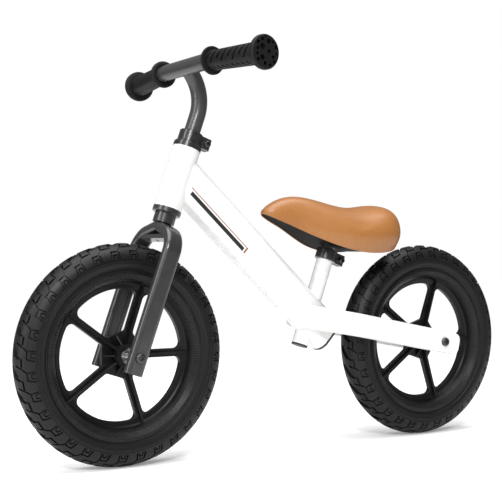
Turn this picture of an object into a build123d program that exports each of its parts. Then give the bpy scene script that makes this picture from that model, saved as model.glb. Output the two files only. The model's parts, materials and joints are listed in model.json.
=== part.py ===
"""Balance bike: a welded frame, a straight-legged fork, moulded five-spoke wheels,
a T-shaped handlebar that slides in the steerer tube, and a padded saddle on a sliding post.

Frame of reference: millimetres, +X forward, +Y to the rider's left, +Z up. The origin is on the
ground, midway between the wheels.
"""

import os
from math import atan, cos, radians, sin, tan

from build123d import *

os.makedirs("parts", exist_ok=True)

# ---- Driving dimensions -------------------------------------------------------------------

wheel_radius = 147.5
tyre_section_radius = 24.0
wheelbase = 516.0

head_angle = 70.7               # steering axis, degrees from the ground
head_tube_start = 205.5         # distances along the steering axis start at the front axle
head_tube_length = 87.5
head_tube_radius = 19.0
steerer_radius = 12.7
steerer_bore_radius = 11.2
crown_seat = 184.5              # flat seat on top of the fork legs

leg_centre = 50.0               # fork leg, distance from the bike's middle plane
leg_thickness = 14.0
leg_width = 25.5
leg_below_axle = 22.0

bar_radius = 11.1
bar_wall = 1.6
bar_centre_x = 163.0
bar_centre_z = 535.5
bar_half_width = 178.0
bar_sweep = 7.5                 # degrees, each end bends back this much
stem_bend_radius = 61.0
stem_bend_z = 470.0

down_tube_height = 56.0
down_tube_width = 34.0
down_tube_corner = 15.0
down_tube_slope = 42.6          # degrees from the ground
down_tube_end_x = -74.5         # middle of the open lower end
down_tube_end_z = 162.0

seat_angle = 70.1               # seat tube, degrees from the ground
seat_foot_x = -29.0
seat_foot_z = 149.2
seat_tube_length = 146.0
seat_tube_radius = 12.0
seat_tube_bore = 10.8
post_radius = 10.7

stay_slope = 10.76              # chain stay, degrees from the ground
stay_height = 34.0
stay_thickness = 16.0
stay_centre = 51.5              # distance from the middle plane beside the rear wheel
stay_past_axle = 30.0

axle_radius = 4.0
bearing_outer_radius = 11.0     # 608 ball bearings, 8 x 22 x 7
bearing_width = 7.0
bearing_inner_face = 16.5       # distance from the wheel's middle plane
ball_radius = 1.985

spoke_count = 5
spoke_first_angle = 36.0

wall = 2.0
fit = 0.05
beyond = 60.0                   # cutting shapes reach this far past what they cut

# ---- Planes and axes ----------------------------------------------------------------------

front_x = wheelbase / 2
rear_x = -wheelbase / 2

head_lean = radians(90 - head_angle)
steer_plane = Plane(
    origin=(front_x, 0, wheel_radius),
    x_dir=(cos(head_lean), 0, sin(head_lean)),
    z_dir=(-sin(head_lean), 0, cos(head_lean)),
)
# Seen from the front: local X is +Y of the bike, local Y runs up the steering axis.
fork_plane = Plane(
    origin=(front_x, 0, wheel_radius),
    x_dir=(0, 1, 0),
    z_dir=(cos(head_lean), 0, sin(head_lean)),
)

seat_lean = radians(90 - seat_angle)
seat_plane = Plane(
    origin=(seat_foot_x, 0, seat_foot_z),
    x_dir=(cos(seat_lean), 0, sin(seat_lean)),
    z_dir=(-sin(seat_lean), 0, cos(seat_lean)),
)

tube_slope = radians(down_tube_slope)
# Local Z runs up along the down tube from its open lower end, local X is its upper side.
down_plane = Plane(
    origin=(down_tube_end_x, 0, down_tube_end_z),
    x_dir=(-sin(tube_slope), 0, cos(tube_slope)),
    z_dir=(cos(tube_slope), 0, sin(tube_slope)),
)

stay_angle = radians(stay_slope)
# Local X runs forward and up along the stays from the rear axle, local Y is +Y of the bike.
stay_plane = Plane(
    origin=(rear_x, 0, wheel_radius),
    x_dir=(cos(stay_angle), 0, sin(stay_angle)),
    z_dir=(-sin(stay_angle), 0, cos(stay_angle)),
)


def keep(piece, name):
    """Label a finished piece and write it as its own STEP file."""
    piece.part.label = name
    export_step(piece.part, f"parts/{name}.step")


def wheel_plane(x):
    """Plane across an axle: local X forward, local Y up, local Z towards the right side."""
    return Plane(origin=(x, 0, wheel_radius), x_dir=(1, 0, 0), z_dir=(0, -1, 0))


def tube_on(plane, start, length, outer, inner):
    """Straight round tube along a plane's normal."""
    with BuildPart() as tube:
        with BuildSketch(plane.offset(start)):
            Circle(outer)
            Circle(inner, mode=Mode.SUBTRACT)
        extrude(amount=length)
    return tube


def mirrored(piece):
    """The same piece on the bike's right side."""
    with BuildPart() as other:
        mirror(piece.part, about=Plane.XZ)
    return other


# ---- Frame --------------------------------------------------------------------------------

head_tube = tube_on(steer_plane, head_tube_start, head_tube_length, head_tube_radius,
                    head_tube_radius - wall)
keep(head_tube, "head_tube")

# Flat-sided down tube, mitred to the head tube and pierced by the seat tube.
down_tube_length = 345.0        # reaches into the head tube, where the mitre cuts it
with BuildPart() as down_tube:
    with BuildSketch(down_plane):
        RectangleRounded(down_tube_height, down_tube_width, down_tube_corner)
        RectangleRounded(down_tube_height - 2 * wall, down_tube_width - 2 * wall,
                         down_tube_corner - wall, mode=Mode.SUBTRACT)
    extrude(amount=down_tube_length)
    split(bisect_by=Plane(fork_plane.origin, z_dir=fork_plane.z_dir), keep=Keep.BOTTOM)
    with BuildSketch(steer_plane.offset(head_tube_start - beyond)):
        Circle(head_tube_radius)
    extrude(amount=head_tube_length + 2 * beyond, mode=Mode.SUBTRACT)
    with BuildSketch(seat_plane.offset(-beyond)):
        Circle(seat_tube_radius)
    extrude(amount=seat_tube_length + beyond, mode=Mode.SUBTRACT)
keep(down_tube, "down_tube")

# Domed plug that closes the lower end of the down tube.
plug_depth = 9.0
plug_lip = 5.0
plug_rounding = 3.5
with BuildPart() as down_tube_plug:
    with BuildSketch(down_plane):
        RectangleRounded(down_tube_height, down_tube_width, down_tube_corner)
    extrude(amount=-plug_lip)
    outer_end = down_tube_plug.faces().sort_by(Axis(down_plane.origin, down_plane.z_dir))[0]
    fillet(outer_end.edges(), plug_rounding)
    with BuildSketch(down_plane):
        RectangleRounded(down_tube_height - 2 * wall, down_tube_width - 2 * wall,
                         down_tube_corner - wall)
    extrude(amount=plug_depth)
keep(down_tube_plug, "down_tube_plug")

# Seat tube with a clamping slot down its back.
slot_length = 26.0
slot_width = 2.4
with BuildPart() as seat_tube:
    with BuildSketch(seat_plane):
        Circle(seat_tube_radius)
        Circle(seat_tube_bore, mode=Mode.SUBTRACT)
    extrude(amount=seat_tube_length)
    with BuildSketch(seat_plane.offset(seat_tube_length - slot_length)):
        with Locations((-seat_tube_radius, 0)):
            Rectangle(seat_tube_radius, slot_width)
    extrude(amount=slot_length, mode=Mode.SUBTRACT)
keep(seat_tube, "seat_tube")

seat_plug_lip = 2.5
seat_plug_depth = 8.0
with BuildPart() as seat_tube_plug:
    with BuildSketch(seat_plane):
        Circle(seat_tube_radius)
    extrude(amount=-seat_plug_lip)
    with BuildSketch(seat_plane):
        Circle(seat_tube_bore)
    extrude(amount=seat_plug_depth)
keep(seat_tube_plug, "seat_tube_plug")

# Chain stay: leaves the flat side of the down tube, swings out past the tyre, then runs
# straight back to the axle. The last stretch is solid and carries the axle hole.
stay_straight = 152.0
stay_bend_radius = 60.0
stay_bend = 30.0                # degrees
stay_inwards = 70.0             # the stretch that runs into the down tube
stay_corner = 6.0
stay_end_rounding = 12.0
solid_end = 46.0
with BuildPart() as chain_stay_left:
    with BuildLine(stay_plane) as stay_path:
        run_back = Line((-stay_past_axle, stay_centre), (stay_straight, stay_centre))
        bend = JernArc(start=run_back @ 1, tangent=run_back % 1, radius=stay_bend_radius,
                       arc_size=-stay_bend)
        Line(bend @ 1, bend @ 1 + (bend % 1) * stay_inwards)
    stay_line = stay_path.wires()[0]
    stay_start = Plane(origin=run_back @ 0, x_dir=(0, 1, 0), z_dir=stay_plane.x_dir)
    with BuildSketch(stay_start):
        RectangleRounded(stay_thickness, stay_height, stay_corner)
    sweep(path=stay_line)
    with BuildSketch(stay_start):
        RectangleRounded(stay_thickness - 2 * wall, stay_height - 2 * wall, stay_corner - wall)
    sweep(path=stay_line, mode=Mode.SUBTRACT)
    with BuildSketch(stay_start):
        RectangleRounded(stay_thickness, stay_height, stay_corner)
    extrude(amount=solid_end)
    # Everything inboard of the down tube's flat side goes.
    with BuildSketch(Plane.XY):
        Rectangle(2 * wheelbase, down_tube_width)
    extrude(amount=2 * wheel_radius, mode=Mode.SUBTRACT)
    # Rounded rear end in side view: the block is longer than the stay, so only that end shows.
    side_view = Plane(origin=(rear_x, 0, wheel_radius), x_dir=stay_plane.x_dir, z_dir=(0, -1, 0))
    with BuildSketch(side_view):
        with Locations((wheelbase / 2 - stay_past_axle, 0)):
            RectangleRounded(wheelbase, stay_height, stay_end_rounding)
    extrude(amount=-(stay_centre + beyond), mode=Mode.INTERSECT)
    with BuildSketch(wheel_plane(rear_x)):
        Circle(axle_radius + fit)
    extrude(amount=-(stay_centre + beyond), mode=Mode.SUBTRACT)
keep(chain_stay_left, "chain_stay_left")
keep(mirrored(chain_stay_left), "chain_stay_right")


# ---- Clamps -------------------------------------------------------------------------------

collar_height = 16.0
collar_wall = 3.6
ear_length = 14.0
ear_width = 15.0
ear_gap = 3.0
screw_radius = 2.5
screw_head_radius = 4.25
screw_head_height = 5.0
screw_socket_radius = 2.3
screw_reach = 13.0              # from the clamp's middle plane to the screw's tip
nut_radius = 4.6
nut_height = 4.2
seat_clamp_start = 130.5        # distance along the seat tube
handlebar_clamp_start = 301.2   # distance along the steering axis


def split_clamp(plane, start, bore, name):
    """Collar with two ears behind the tube, and the screw and nut that pinch them together."""
    outer = bore + collar_wall
    ear_end = outer + ear_length
    with BuildPart() as collar:
        with BuildSketch(plane.offset(start)):
            Circle(outer)
            with Locations((-ear_end / 2, 0)):
                RectangleRounded(ear_end, ear_width, 3)
            Circle(bore, mode=Mode.SUBTRACT)
            with Locations((-ear_end / 2 - ear_gap, 0)):
                Rectangle(ear_end + 2 * ear_gap, ear_gap, mode=Mode.SUBTRACT)
        extrude(amount=collar_height)
        chamfer(collar.edges().filter_by(GeomType.CIRCLE).sort_by(SortBy.RADIUS)[-2:], 0.8)
        hole_centre = plane.offset(start + collar_height / 2).from_local_coords(
            (-outer - ear_length / 2, 0, 0))
        screw_plane = Plane(origin=hole_centre, x_dir=plane.z_dir, z_dir=(0, 1, 0))
        with BuildSketch(screw_plane.offset(-beyond / 2)):
            Circle(screw_radius + fit)
        extrude(amount=beyond, mode=Mode.SUBTRACT)
    keep(collar, name)
    with BuildPart() as screw:
        with BuildSketch(screw_plane.offset(-screw_reach)):
            Circle(screw_radius)
        extrude(amount=screw_reach + ear_width / 2)
        with BuildSketch(screw_plane.offset(ear_width / 2)):
            Circle(screw_head_radius)
        extrude(amount=screw_head_height)
        chamfer(screw.faces().sort_by(Axis.Y)[-1].edges(), 0.6)
        with BuildSketch(screw_plane.offset(ear_width / 2 + screw_head_height / 2)):
            RegularPolygon(radius=screw_socket_radius, side_count=6)
        extrude(amount=screw_head_height, mode=Mode.SUBTRACT)
    keep(screw, f"{name}_screw")
    with BuildPart() as nut:
        with BuildSketch(screw_plane.offset(-ear_width / 2 - nut_height)):
            RegularPolygon(radius=nut_radius, side_count=6)
            Circle(screw_radius + fit, mode=Mode.SUBTRACT)
        extrude(amount=nut_height)
    keep(nut, f"{name}_nut")


split_clamp(seat_plane, seat_clamp_start, seat_tube_radius + fit, "seat_clamp")
split_clamp(steer_plane, handlebar_clamp_start, steerer_radius + fit, "handlebar_clamp")

# ---- Headset ------------------------------------------------------------------------------

cup_radius = 19.5
cup_height = 7.0
cup_sleeve = 9.0
cup_cavity = 18.4
ball_pitch = 16.0
headset_ball_count = 18


def headset_cup(face, up, name):
    """Cup pressed into one end of the head tube; up is +1 at the top and -1 at the bottom."""
    plane = Plane(steer_plane.offset(face).origin, x_dir=steer_plane.x_dir,
                  z_dir=steer_plane.z_dir * up)
    with BuildPart() as cup:
        with BuildSketch(plane):
            Circle(cup_radius)
            Circle(steerer_radius + 1, mode=Mode.SUBTRACT)
        extrude(amount=cup_height)
        chamfer(cup.faces().sort_by(Axis(plane.origin, plane.z_dir))[-1].edges().sort_by(
            SortBy.RADIUS)[-1], 0.8)
        with BuildSketch(plane.offset(2)):
            Circle(cup_cavity)
            Circle(steerer_radius + 1, mode=Mode.SUBTRACT)
        extrude(amount=cup_height, mode=Mode.SUBTRACT)
        with BuildSketch(plane):
            Circle(head_tube_radius - wall)
            Circle(head_tube_radius - wall - 1.6, mode=Mode.SUBTRACT)
        extrude(amount=-cup_sleeve)
    keep(cup, name)
    with BuildPart() as balls:
        with Locations(plane.offset(2 + ball_radius + fit)):
            with PolarLocations(ball_pitch, headset_ball_count):
                Sphere(ball_radius)
    keep(balls, name.replace("cup", "balls"))


headset_cup(head_tube_start, -1, "headset_lower_cup")
headset_cup(head_tube_start + head_tube_length, 1, "headset_upper_cup")

# Cone nut that holds the upper balls down, under the clamp.
cone_gap = 2 + 2 * ball_radius + 2 * fit
upper_cone_start = head_tube_start + head_tube_length + cone_gap
with BuildPart() as headset_upper_cone:
    with BuildSketch(steer_plane.offset(upper_cone_start)):
        Circle(cup_cavity - 0.3)
        Circle(steerer_radius, mode=Mode.SUBTRACT)
    extrude(amount=handlebar_clamp_start - upper_cone_start)
keep(headset_upper_cone, "headset_upper_cone")

# ---- Fork ---------------------------------------------------------------------------------

neck_radius = 14.75
crown_race_top = head_tube_start - cone_gap
with BuildPart() as fork_neck:
    with BuildSketch(steer_plane.offset(crown_seat)):
        Circle(neck_radius)
    extrude(amount=crown_race_top - crown_seat)
    with BuildSketch(steer_plane.offset(crown_race_top - 1.4)):
        Circle(cup_cavity - 0.3)
    extrude(amount=1.4)
    with BuildSketch(steer_plane.offset(crown_seat)):
        Circle(steerer_radius)
    extrude(amount=beyond, mode=Mode.SUBTRACT)
keep(fork_neck, "fork_neck")

steerer_top = handlebar_clamp_start + collar_height - 1
with BuildPart() as steerer_tube:
    with BuildSketch(steer_plane.offset(crown_seat)):
        Circle(steerer_radius)
        Circle(steerer_bore_radius, mode=Mode.SUBTRACT)
    extrude(amount=steerer_top - crown_seat)
    with BuildSketch(steer_plane.offset(steerer_top - slot_length)):
        with Locations((-steerer_radius, 0)):
            Rectangle(steerer_radius, slot_width)
    extrude(amount=slot_length, mode=Mode.SUBTRACT)
keep(steerer_tube, "steerer_tube")

# Fork leg: a flat-sided oval tube, straight past the wheel, bent in under the neck.
leg_straight = 143.0
crown_bend_radius = 30.0
crown_bend = 75.0               # degrees
crown_run = 34.0
leg_corner = 6.2
with BuildLine(fork_plane) as leg_path:
    shaft = Line((leg_centre, -leg_below_axle), (leg_centre, leg_straight))
    shoulder = JernArc(start=shaft @ 1, tangent=shaft % 1, radius=crown_bend_radius,
                       arc_size=crown_bend)
    Line(shoulder @ 1, shoulder @ 1 + (shoulder % 1) * crown_run)
leg_line = leg_path.wires()[0]
leg_foot = Plane(origin=shaft @ 0, x_dir=(0, 1, 0), z_dir=steer_plane.z_dir)

# The leg's outer form, also the shape that the bridge plate is fitted to.
with BuildPart() as leg_form:
    with BuildSketch(leg_foot):
        RectangleRounded(leg_thickness, leg_width, leg_corner)
    sweep(path=leg_line)
    split(bisect_by=Plane.XZ, keep=Keep.BOTTOM)
    split(bisect_by=steer_plane.offset(crown_seat), keep=Keep.BOTTOM)

channel_length = 150.0
channel_width = 9.0
channel_depth = 0.9
channel_middle = 60.0
with BuildPart() as fork_leg_left:
    add(leg_form.part)
    with BuildSketch(leg_foot):
        RectangleRounded(leg_thickness - 2 * wall, leg_width - 2 * wall, leg_corner - wall)
    sweep(path=leg_line, mode=Mode.SUBTRACT)
    with BuildSketch(wheel_plane(front_x)):
        Circle(axle_radius + fit)
    extrude(amount=-(leg_centre + beyond), mode=Mode.SUBTRACT)
    # Shallow pressed channel along the inner face.
    inner_face = fork_plane.from_local_coords((leg_centre - leg_thickness / 2, channel_middle, 0))
    with BuildSketch(Plane(inner_face, x_dir=steer_plane.x_dir, z_dir=(0, 1, 0))):
        SlotOverall(channel_length, channel_width, rotation=90)
    extrude(amount=channel_depth, mode=Mode.SUBTRACT)
keep(fork_leg_left, "fork_leg_left")
keep(mirrored(fork_leg_left), "fork_leg_right")

# Bridge plate welded between the legs, above the tyre.
bridge_bottom = 160.5
bridge_thickness = 6.0
bridge_length = 15.0
with BuildPart() as fork_bridge:
    with BuildSketch(steer_plane.offset(bridge_bottom)):
        with Locations((1, 0)):
            Rectangle(bridge_length, 2 * (leg_centre - leg_thickness / 2) - 8)
        Circle(3, mode=Mode.SUBTRACT)
    extrude(amount=bridge_thickness)
    add(leg_form.part, mode=Mode.SUBTRACT)
    add(mirrored(leg_form).part, mode=Mode.SUBTRACT)
keep(fork_bridge, "fork_bridge")

# ---- Wheels -------------------------------------------------------------------------------

section_centre = wheel_radius - tyre_section_radius
bead_half_width = 20.5
bead_radius = section_centre - (tyre_section_radius**2 - bead_half_width**2) ** 0.5
window_radius = 87.7
web_half = 3.4
spoke_half = 5.4
window_rim_fillet = 8.5
window_hub_fillet = 6.0
hub_apothem = 29.0
hub_bore_radius = 8.0
boss_radius = 15.0
boss_half = bearing_inner_face + bearing_width + 0.4
rib_half = 1.5
brace_half = 1.1
spoke_joint_radius = window_radius - window_rim_fillet


def revolve_plane(x):
    """Plane through an axle: local X is the radius, pointing up, and local Y is across."""
    return Plane(origin=(x, 0, wheel_radius), x_dir=(0, 0, 1), z_dir=(1, 0, 0))


def axle_axis(x):
    return Axis((x, 0, wheel_radius), (0, 1, 0))


def tyre(x, name):
    """Solid foam tyre, round in section, that sits in the rim's channel."""
    with BuildPart() as ring:
        with BuildSketch(revolve_plane(x)):
            with Locations((section_centre, 0)):
                Circle(tyre_section_radius)
        revolve(axis=axle_axis(x))
    keep(ring, f"{name}_tyre")


def rim_channel(x):
    """Ring that holds the tyre: half of its section is drawn and mirrored to the other side."""
    with BuildPart() as channel:
        with BuildSketch(revolve_plane(x)):
            with BuildLine():
                Polyline(
                    (window_radius, 0), (window_radius, web_half), (93.5, web_half + 1.4),
                    (95.5, 6.5), (97.5, 11.5), (101, 16.5), (107, 21.6), (bead_radius, 21.6),
                    (bead_radius, bead_half_width),
                )
                RadiusArc((bead_radius, bead_half_width),
                          (section_centre - tyre_section_radius, 0), -tyre_section_radius)
                Line((section_centre - tyre_section_radius, 0), (window_radius, 0))
            make_face()
            mirror(about=Plane(revolve_plane(x).origin, z_dir=(0, 1, 0)))
        revolve(axis=axle_axis(x))
    return channel


def radial_rib(x, angle, outline, half_thickness):
    """Flat rib standing on the web along one radius; the outline is (radius, across) points."""
    rib_plane = wheel_plane(x).rotated((0, 0, angle)).rotated((90, 0, 0))
    with BuildPart() as rib:
        with BuildSketch(rib_plane):
            with BuildLine():
                Polyline(*outline, close=True)
            make_face()
        extrude(amount=half_thickness, both=True)
    return rib


spoke_rib = ((12, -13), (30, -9), (98, -7.5), (98, 7.5), (30, 9), (12, 13))
brace_rib = ((12, -14), (27, -web_half), (27, web_half), (12, 14))


def wheel_moulding(x):
    """Rim channel, five ribbed spokes, hub disc and bearing boss, all in one."""
    with BuildPart() as moulding:
        add(rim_channel(x).part)
        # Web disc with five filleted windows between the spokes.
        with BuildSketch(wheel_plane(x).offset(-web_half)):
            Circle(window_radius + 2)
            with PolarLocations(0, spoke_count, start_angle=spoke_first_angle):
                add(spoke_window(), mode=Mode.SUBTRACT)
        extrude(amount=2 * web_half)
        # A tapered rib along each spoke, and a short one that braces the boss between spokes.
        for turn in range(spoke_count):
            angle = spoke_first_angle + 360 / spoke_count * turn
            add(radial_rib(x, angle, spoke_rib, rib_half).part)
            add(radial_rib(x, angle + 180 / spoke_count, brace_rib, brace_half).part)
        with BuildSketch(wheel_plane(x).offset(-boss_half)):
            Circle(boss_radius)
        extrude(amount=2 * boss_half)
        # Through bore for the sleeve, and a bearing seat at each end.
        with BuildSketch(wheel_plane(x).offset(-beyond)):
            Circle(hub_bore_radius)
        extrude(amount=2 * beyond, mode=Mode.SUBTRACT)
        for side in (-1, 1):
            seat = Plane((x, side * bearing_inner_face, wheel_radius), x_dir=(1, 0, 0),
                         z_dir=(0, side, 0))
            with BuildSketch(seat):
                Circle(bearing_outer_radius)
            extrude(amount=beyond, mode=Mode.SUBTRACT)
    return moulding


def rim(x, name):
    """The moulding as two pieces that meet across the spokes, so each has its own collision."""
    moulding = wheel_moulding(x)
    for piece_name, cut in (("rim", Mode.SUBTRACT), ("spokes", Mode.INTERSECT)):
        with BuildPart() as piece:
            add(moulding.part)
            with BuildSketch(wheel_plane(x).offset(-beyond)):
                Circle(spoke_joint_radius)
            extrude(amount=2 * beyond, mode=cut)
        keep(piece, f"{name}_{piece_name}")


def spoke_window():
    """The opening between two spokes, its middle on the local X axis turned by half a pitch."""
    half_pitch = 180 / spoke_count
    with BuildSketch(mode=Mode.PRIVATE) as window:
        with BuildLine():
            inner_y = hub_apothem * tan(radians(half_pitch)) - spoke_half / cos(radians(half_pitch))
            reach = (window_radius**2 - spoke_half**2) ** 0.5
            corner = Vector(reach, spoke_half).rotate(Axis.Z, -half_pitch)
            lower = Line((hub_apothem, -inner_y), (corner.X, corner.Y))
            arc = RadiusArc(lower @ 1, (corner.X, -corner.Y), -window_radius)
            upper = Line(arc @ 1, (hub_apothem, inner_y))
            Line(upper @ 1, lower @ 0)
        make_face()
        rim_corners = window.vertices().group_by(Axis.X)[-1]
        fillet(rim_corners, window_rim_fillet)
        hub_corners = window.vertices().group_by(Axis.X)[0]
        fillet(hub_corners, window_hub_fillet)
    return window.sketch.rotate(Axis.Z, half_pitch)


inner_ring_radius = 6.2
outer_ring_bore = 9.2
bearing_ball_radius = 1.4
bearing_ball_count = 7
seal_thickness = 0.8


def bearings(x, name):
    """Two 608 bearings: outer rings and seals turn with the wheel, inner rings stay."""
    with BuildPart() as outer_rings:
        for side in (-1, 1):
            seat = Plane((x, side * bearing_inner_face, wheel_radius), x_dir=(1, 0, 0),
                         z_dir=(0, side, 0))
            with BuildSketch(seat):
                Circle(bearing_outer_radius)
                Circle(outer_ring_bore, mode=Mode.SUBTRACT)
            extrude(amount=bearing_width)
    keep(outer_rings, f"{name}_bearing_outer_rings")
    with BuildPart() as balls:
        for side in (-1, 1):
            middle = side * (bearing_inner_face + bearing_width / 2)
            with Locations(Plane((x, middle, wheel_radius), x_dir=(1, 0, 0), z_dir=(0, 1, 0))):
                with PolarLocations((inner_ring_radius + outer_ring_bore) / 2, bearing_ball_count):
                    Sphere(bearing_ball_radius)
    keep(balls, f"{name}_bearing_balls")
    with BuildPart() as seals:
        for side in (-1, 1):
            edge = side * (bearing_inner_face + bearing_width - seal_thickness - 0.2)
            with BuildSketch(Plane((x, edge, wheel_radius), x_dir=(1, 0, 0), z_dir=(0, side, 0))):
                Circle(outer_ring_bore)
                Circle(inner_ring_radius + 0.2, mode=Mode.SUBTRACT)
            extrude(amount=seal_thickness)
    keep(seals, f"{name}_bearing_seals")
    with BuildPart() as inner_rings:
        for side in (-1, 1):
            seat = Plane((x, side * bearing_inner_face, wheel_radius), x_dir=(1, 0, 0),
                         z_dir=(0, side, 0))
            with BuildSketch(seat):
                Circle(inner_ring_radius)
                Circle(axle_radius + fit, mode=Mode.SUBTRACT)
            extrude(amount=bearing_width)
    keep(inner_rings, f"{name}_bearing_inner_rings")


spacer_radius = 6.0
axle_bore_radius = 2.5
bolt_head_radius = 6.6
bolt_head_height = 4.4
bolt_head_rounding = 2.6
bolt_socket_radius = 2.9
bolt_length = 18.0


def axle_set(x, name, inner_face, outer_face):
    """Hollow axle, sleeve, two spacers and a button-head bolt at each end."""
    sleeve = tube_on(wheel_plane(x).offset(-bearing_inner_face), 0, 2 * bearing_inner_face,
                     inner_ring_radius, axle_radius + fit)
    keep(sleeve, f"{name}_axle_sleeve")
    spacer_start = bearing_inner_face + bearing_width
    with BuildPart() as spacers:
        for side in (-1, 1):
            with BuildSketch(Plane((x, side * spacer_start, wheel_radius), x_dir=(1, 0, 0),
                                   z_dir=(0, side, 0))):
                Circle(spacer_radius)
                Circle(axle_radius + fit, mode=Mode.SUBTRACT)
            extrude(amount=inner_face - spacer_start)
    keep(spacers, f"{name}_axle_spacers")
    with BuildPart() as axle:
        with BuildSketch(wheel_plane(x).offset(-outer_face)):
            Circle(axle_radius)
            Circle(axle_bore_radius, mode=Mode.SUBTRACT)
        extrude(amount=2 * outer_face)
    keep(axle, f"{name}_axle")
    with BuildPart() as bolts:
        for side in (-1, 1):
            head = Plane((x, side * outer_face, wheel_radius), x_dir=(1, 0, 0),
                         z_dir=(0, side, 0))
            with BuildSketch(head):
                Circle(bolt_head_radius)
            extrude(amount=bolt_head_height)
            outer_end = bolts.faces().sort_by(Axis.Y)[-1 if side > 0 else 0]
            fillet(outer_end.edges(), bolt_head_rounding)
            with BuildSketch(head.offset(bolt_head_height / 2)):
                RegularPolygon(radius=bolt_socket_radius, side_count=6)
            extrude(amount=bolt_head_height, mode=Mode.SUBTRACT)
            with BuildSketch(head):
                Circle(axle_bore_radius)
            extrude(amount=-bolt_length)
    keep(bolts, f"{name}_axle_bolts")


for wheel_x, wheel_name in ((front_x, "front"), (rear_x, "rear")):
    tyre(wheel_x, wheel_name)
    rim(wheel_x, wheel_name)
    bearings(wheel_x, wheel_name)

axle_set(front_x, "front", leg_centre - leg_thickness / 2, leg_centre + leg_thickness / 2)
axle_set(rear_x, "rear", stay_centre - stay_thickness / 2, stay_centre + stay_thickness / 2)

# ---- Handlebar ----------------------------------------------------------------------------

# The crossbar is straight in the middle and swept back and slightly down at the ends.
sweep_start = 47.0
sweep_end = 63.0
bend_middle = (sweep_start + sweep_end) / 2
sweep_angle = radians(bar_sweep)
drop_angle = atan(0.23)


def bar_point(distance, side=1):
    """Point on the crossbar's centre line, distance measured along the bar from the middle."""
    if distance <= bend_middle:
        return Vector(bar_centre_x, side * distance, bar_centre_z)
    run = distance - bend_middle
    back = run * sin(sweep_angle)
    return Vector(bar_centre_x - back * cos(drop_angle),
                  side * (bend_middle + run * cos(sweep_angle)),
                  bar_centre_z - back * sin(drop_angle))


def bar_plane(distance, side=1):
    """Plane across the crossbar near one end, its normal pointing outwards."""
    outwards = bar_point(distance + 1, side) - bar_point(distance, side)
    return Plane(origin=bar_point(distance, side), x_dir=(0, 0, 1), z_dir=outwards)


crossbar_half = bar_half_width - 8
with BuildPart() as handlebar_crossbar:
    with BuildLine() as bar_path:
        FilletPolyline(
            bar_point(crossbar_half, -1), bar_point(bend_middle, -1),
            bar_point(bend_middle, 1), bar_point(crossbar_half, 1), radius=110,
        )
    with BuildSketch(Plane(origin=bar_path.wires()[0] @ 0, z_dir=bar_path.wires()[0] % 0)):
        Circle(bar_radius)
        Circle(bar_radius - bar_wall, mode=Mode.SUBTRACT)
    sweep(path=bar_path.wires()[0])
keep(handlebar_crossbar, "handlebar_crossbar")

# Stem: straight inside the steerer, then curving forward up to the crossbar.
stem_bottom = 236.0
stem_bend_start = (stem_bend_z - wheel_radius) / cos(head_lean)
side_plane = Plane(origin=steer_plane.origin, x_dir=steer_plane.x_dir, z_dir=(0, -1, 0))
with BuildPart() as handlebar_stem:
    with BuildLine(side_plane) as stem_path:
        upright = Line((0, stem_bottom), (0, stem_bend_start))
        curve = JernArc(start=upright @ 1, tangent=upright % 1, radius=stem_bend_radius,
                        arc_size=-66)
    with BuildSketch(steer_plane.offset(stem_bottom)):
        Circle(bar_radius)
        Circle(bar_radius - bar_wall, mode=Mode.SUBTRACT)
    sweep(path=stem_path.wires()[0])
    with BuildSketch(Plane((bar_centre_x, -40, bar_centre_z), x_dir=(1, 0, 0), z_dir=(0, 1, 0))):
        Circle(bar_radius)
    extrude(amount=80, mode=Mode.SUBTRACT)
keep(handlebar_stem, "handlebar_stem")

# Grips: an inner flange, a slightly tapered body and a wide outer disc that closes the end.
grip_start = 67.0
flange_width = 4.5
disc_width = 7.0
inner_flange_radius = 18.0
outer_disc_radius = 22.2
for side, side_name in ((1, "left"), (-1, "right")):
    with BuildPart() as grip:
        with BuildSketch(bar_plane(grip_start, side)):
            Circle(inner_flange_radius)
        extrude(amount=flange_width)
        fillet(grip.edges(), 1.6)
        with BuildSketch(bar_plane(grip_start + 2, side)):
            Circle(13.4)
        with BuildSketch(bar_plane(bar_half_width - disc_width + 2, side)):
            Circle(14.8)
        loft()
        with BuildSketch(bar_plane(bar_half_width - disc_width, side)):
            Circle(outer_disc_radius)
        extrude(amount=disc_width)
        fillet(grip.edges().filter_by(
            lambda edge: edge.geom_type == GeomType.CIRCLE and edge.radius > 22), 2)
        with BuildSketch(bar_plane(grip_start - 5, side)):
            Circle(bar_radius)
        extrude(amount=crossbar_half - grip_start + 5, mode=Mode.SUBTRACT)
    keep(grip, f"grip_{side_name}")

# ---- Saddle -------------------------------------------------------------------------------

# Stations from nose to tail: x, half width, top and lower edge of the pad.
saddle_stations = (
    (38.5, 6, 343, 331),
    (31, 15, 354, 327),
    (16, 19, 362, 323),
    (-4, 22, 364.5, 319),
    (-38, 36, 363, 308),
    (-76, 53, 354.5, 297),
    (-115, 63, 351.5, 291),
    (-152, 69, 353.5, 287),
    (-176, 60, 350, 289),
    (-190, 38, 338, 297),
)
base_above_edge = 3.0
base_below_edge = 4.0
base_inset = 5.0
socket_radius = 14.5
socket_roof = 4.0
post_bottom = 14.0
post_top = 166.0
saddle_bolt_radius = 3.0


def edge_curve(shift):
    """Line of the pad's lower edge in side view, moved up by shift."""
    return [(x, edge + shift) for x, half_width, top, edge in saddle_stations]


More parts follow.
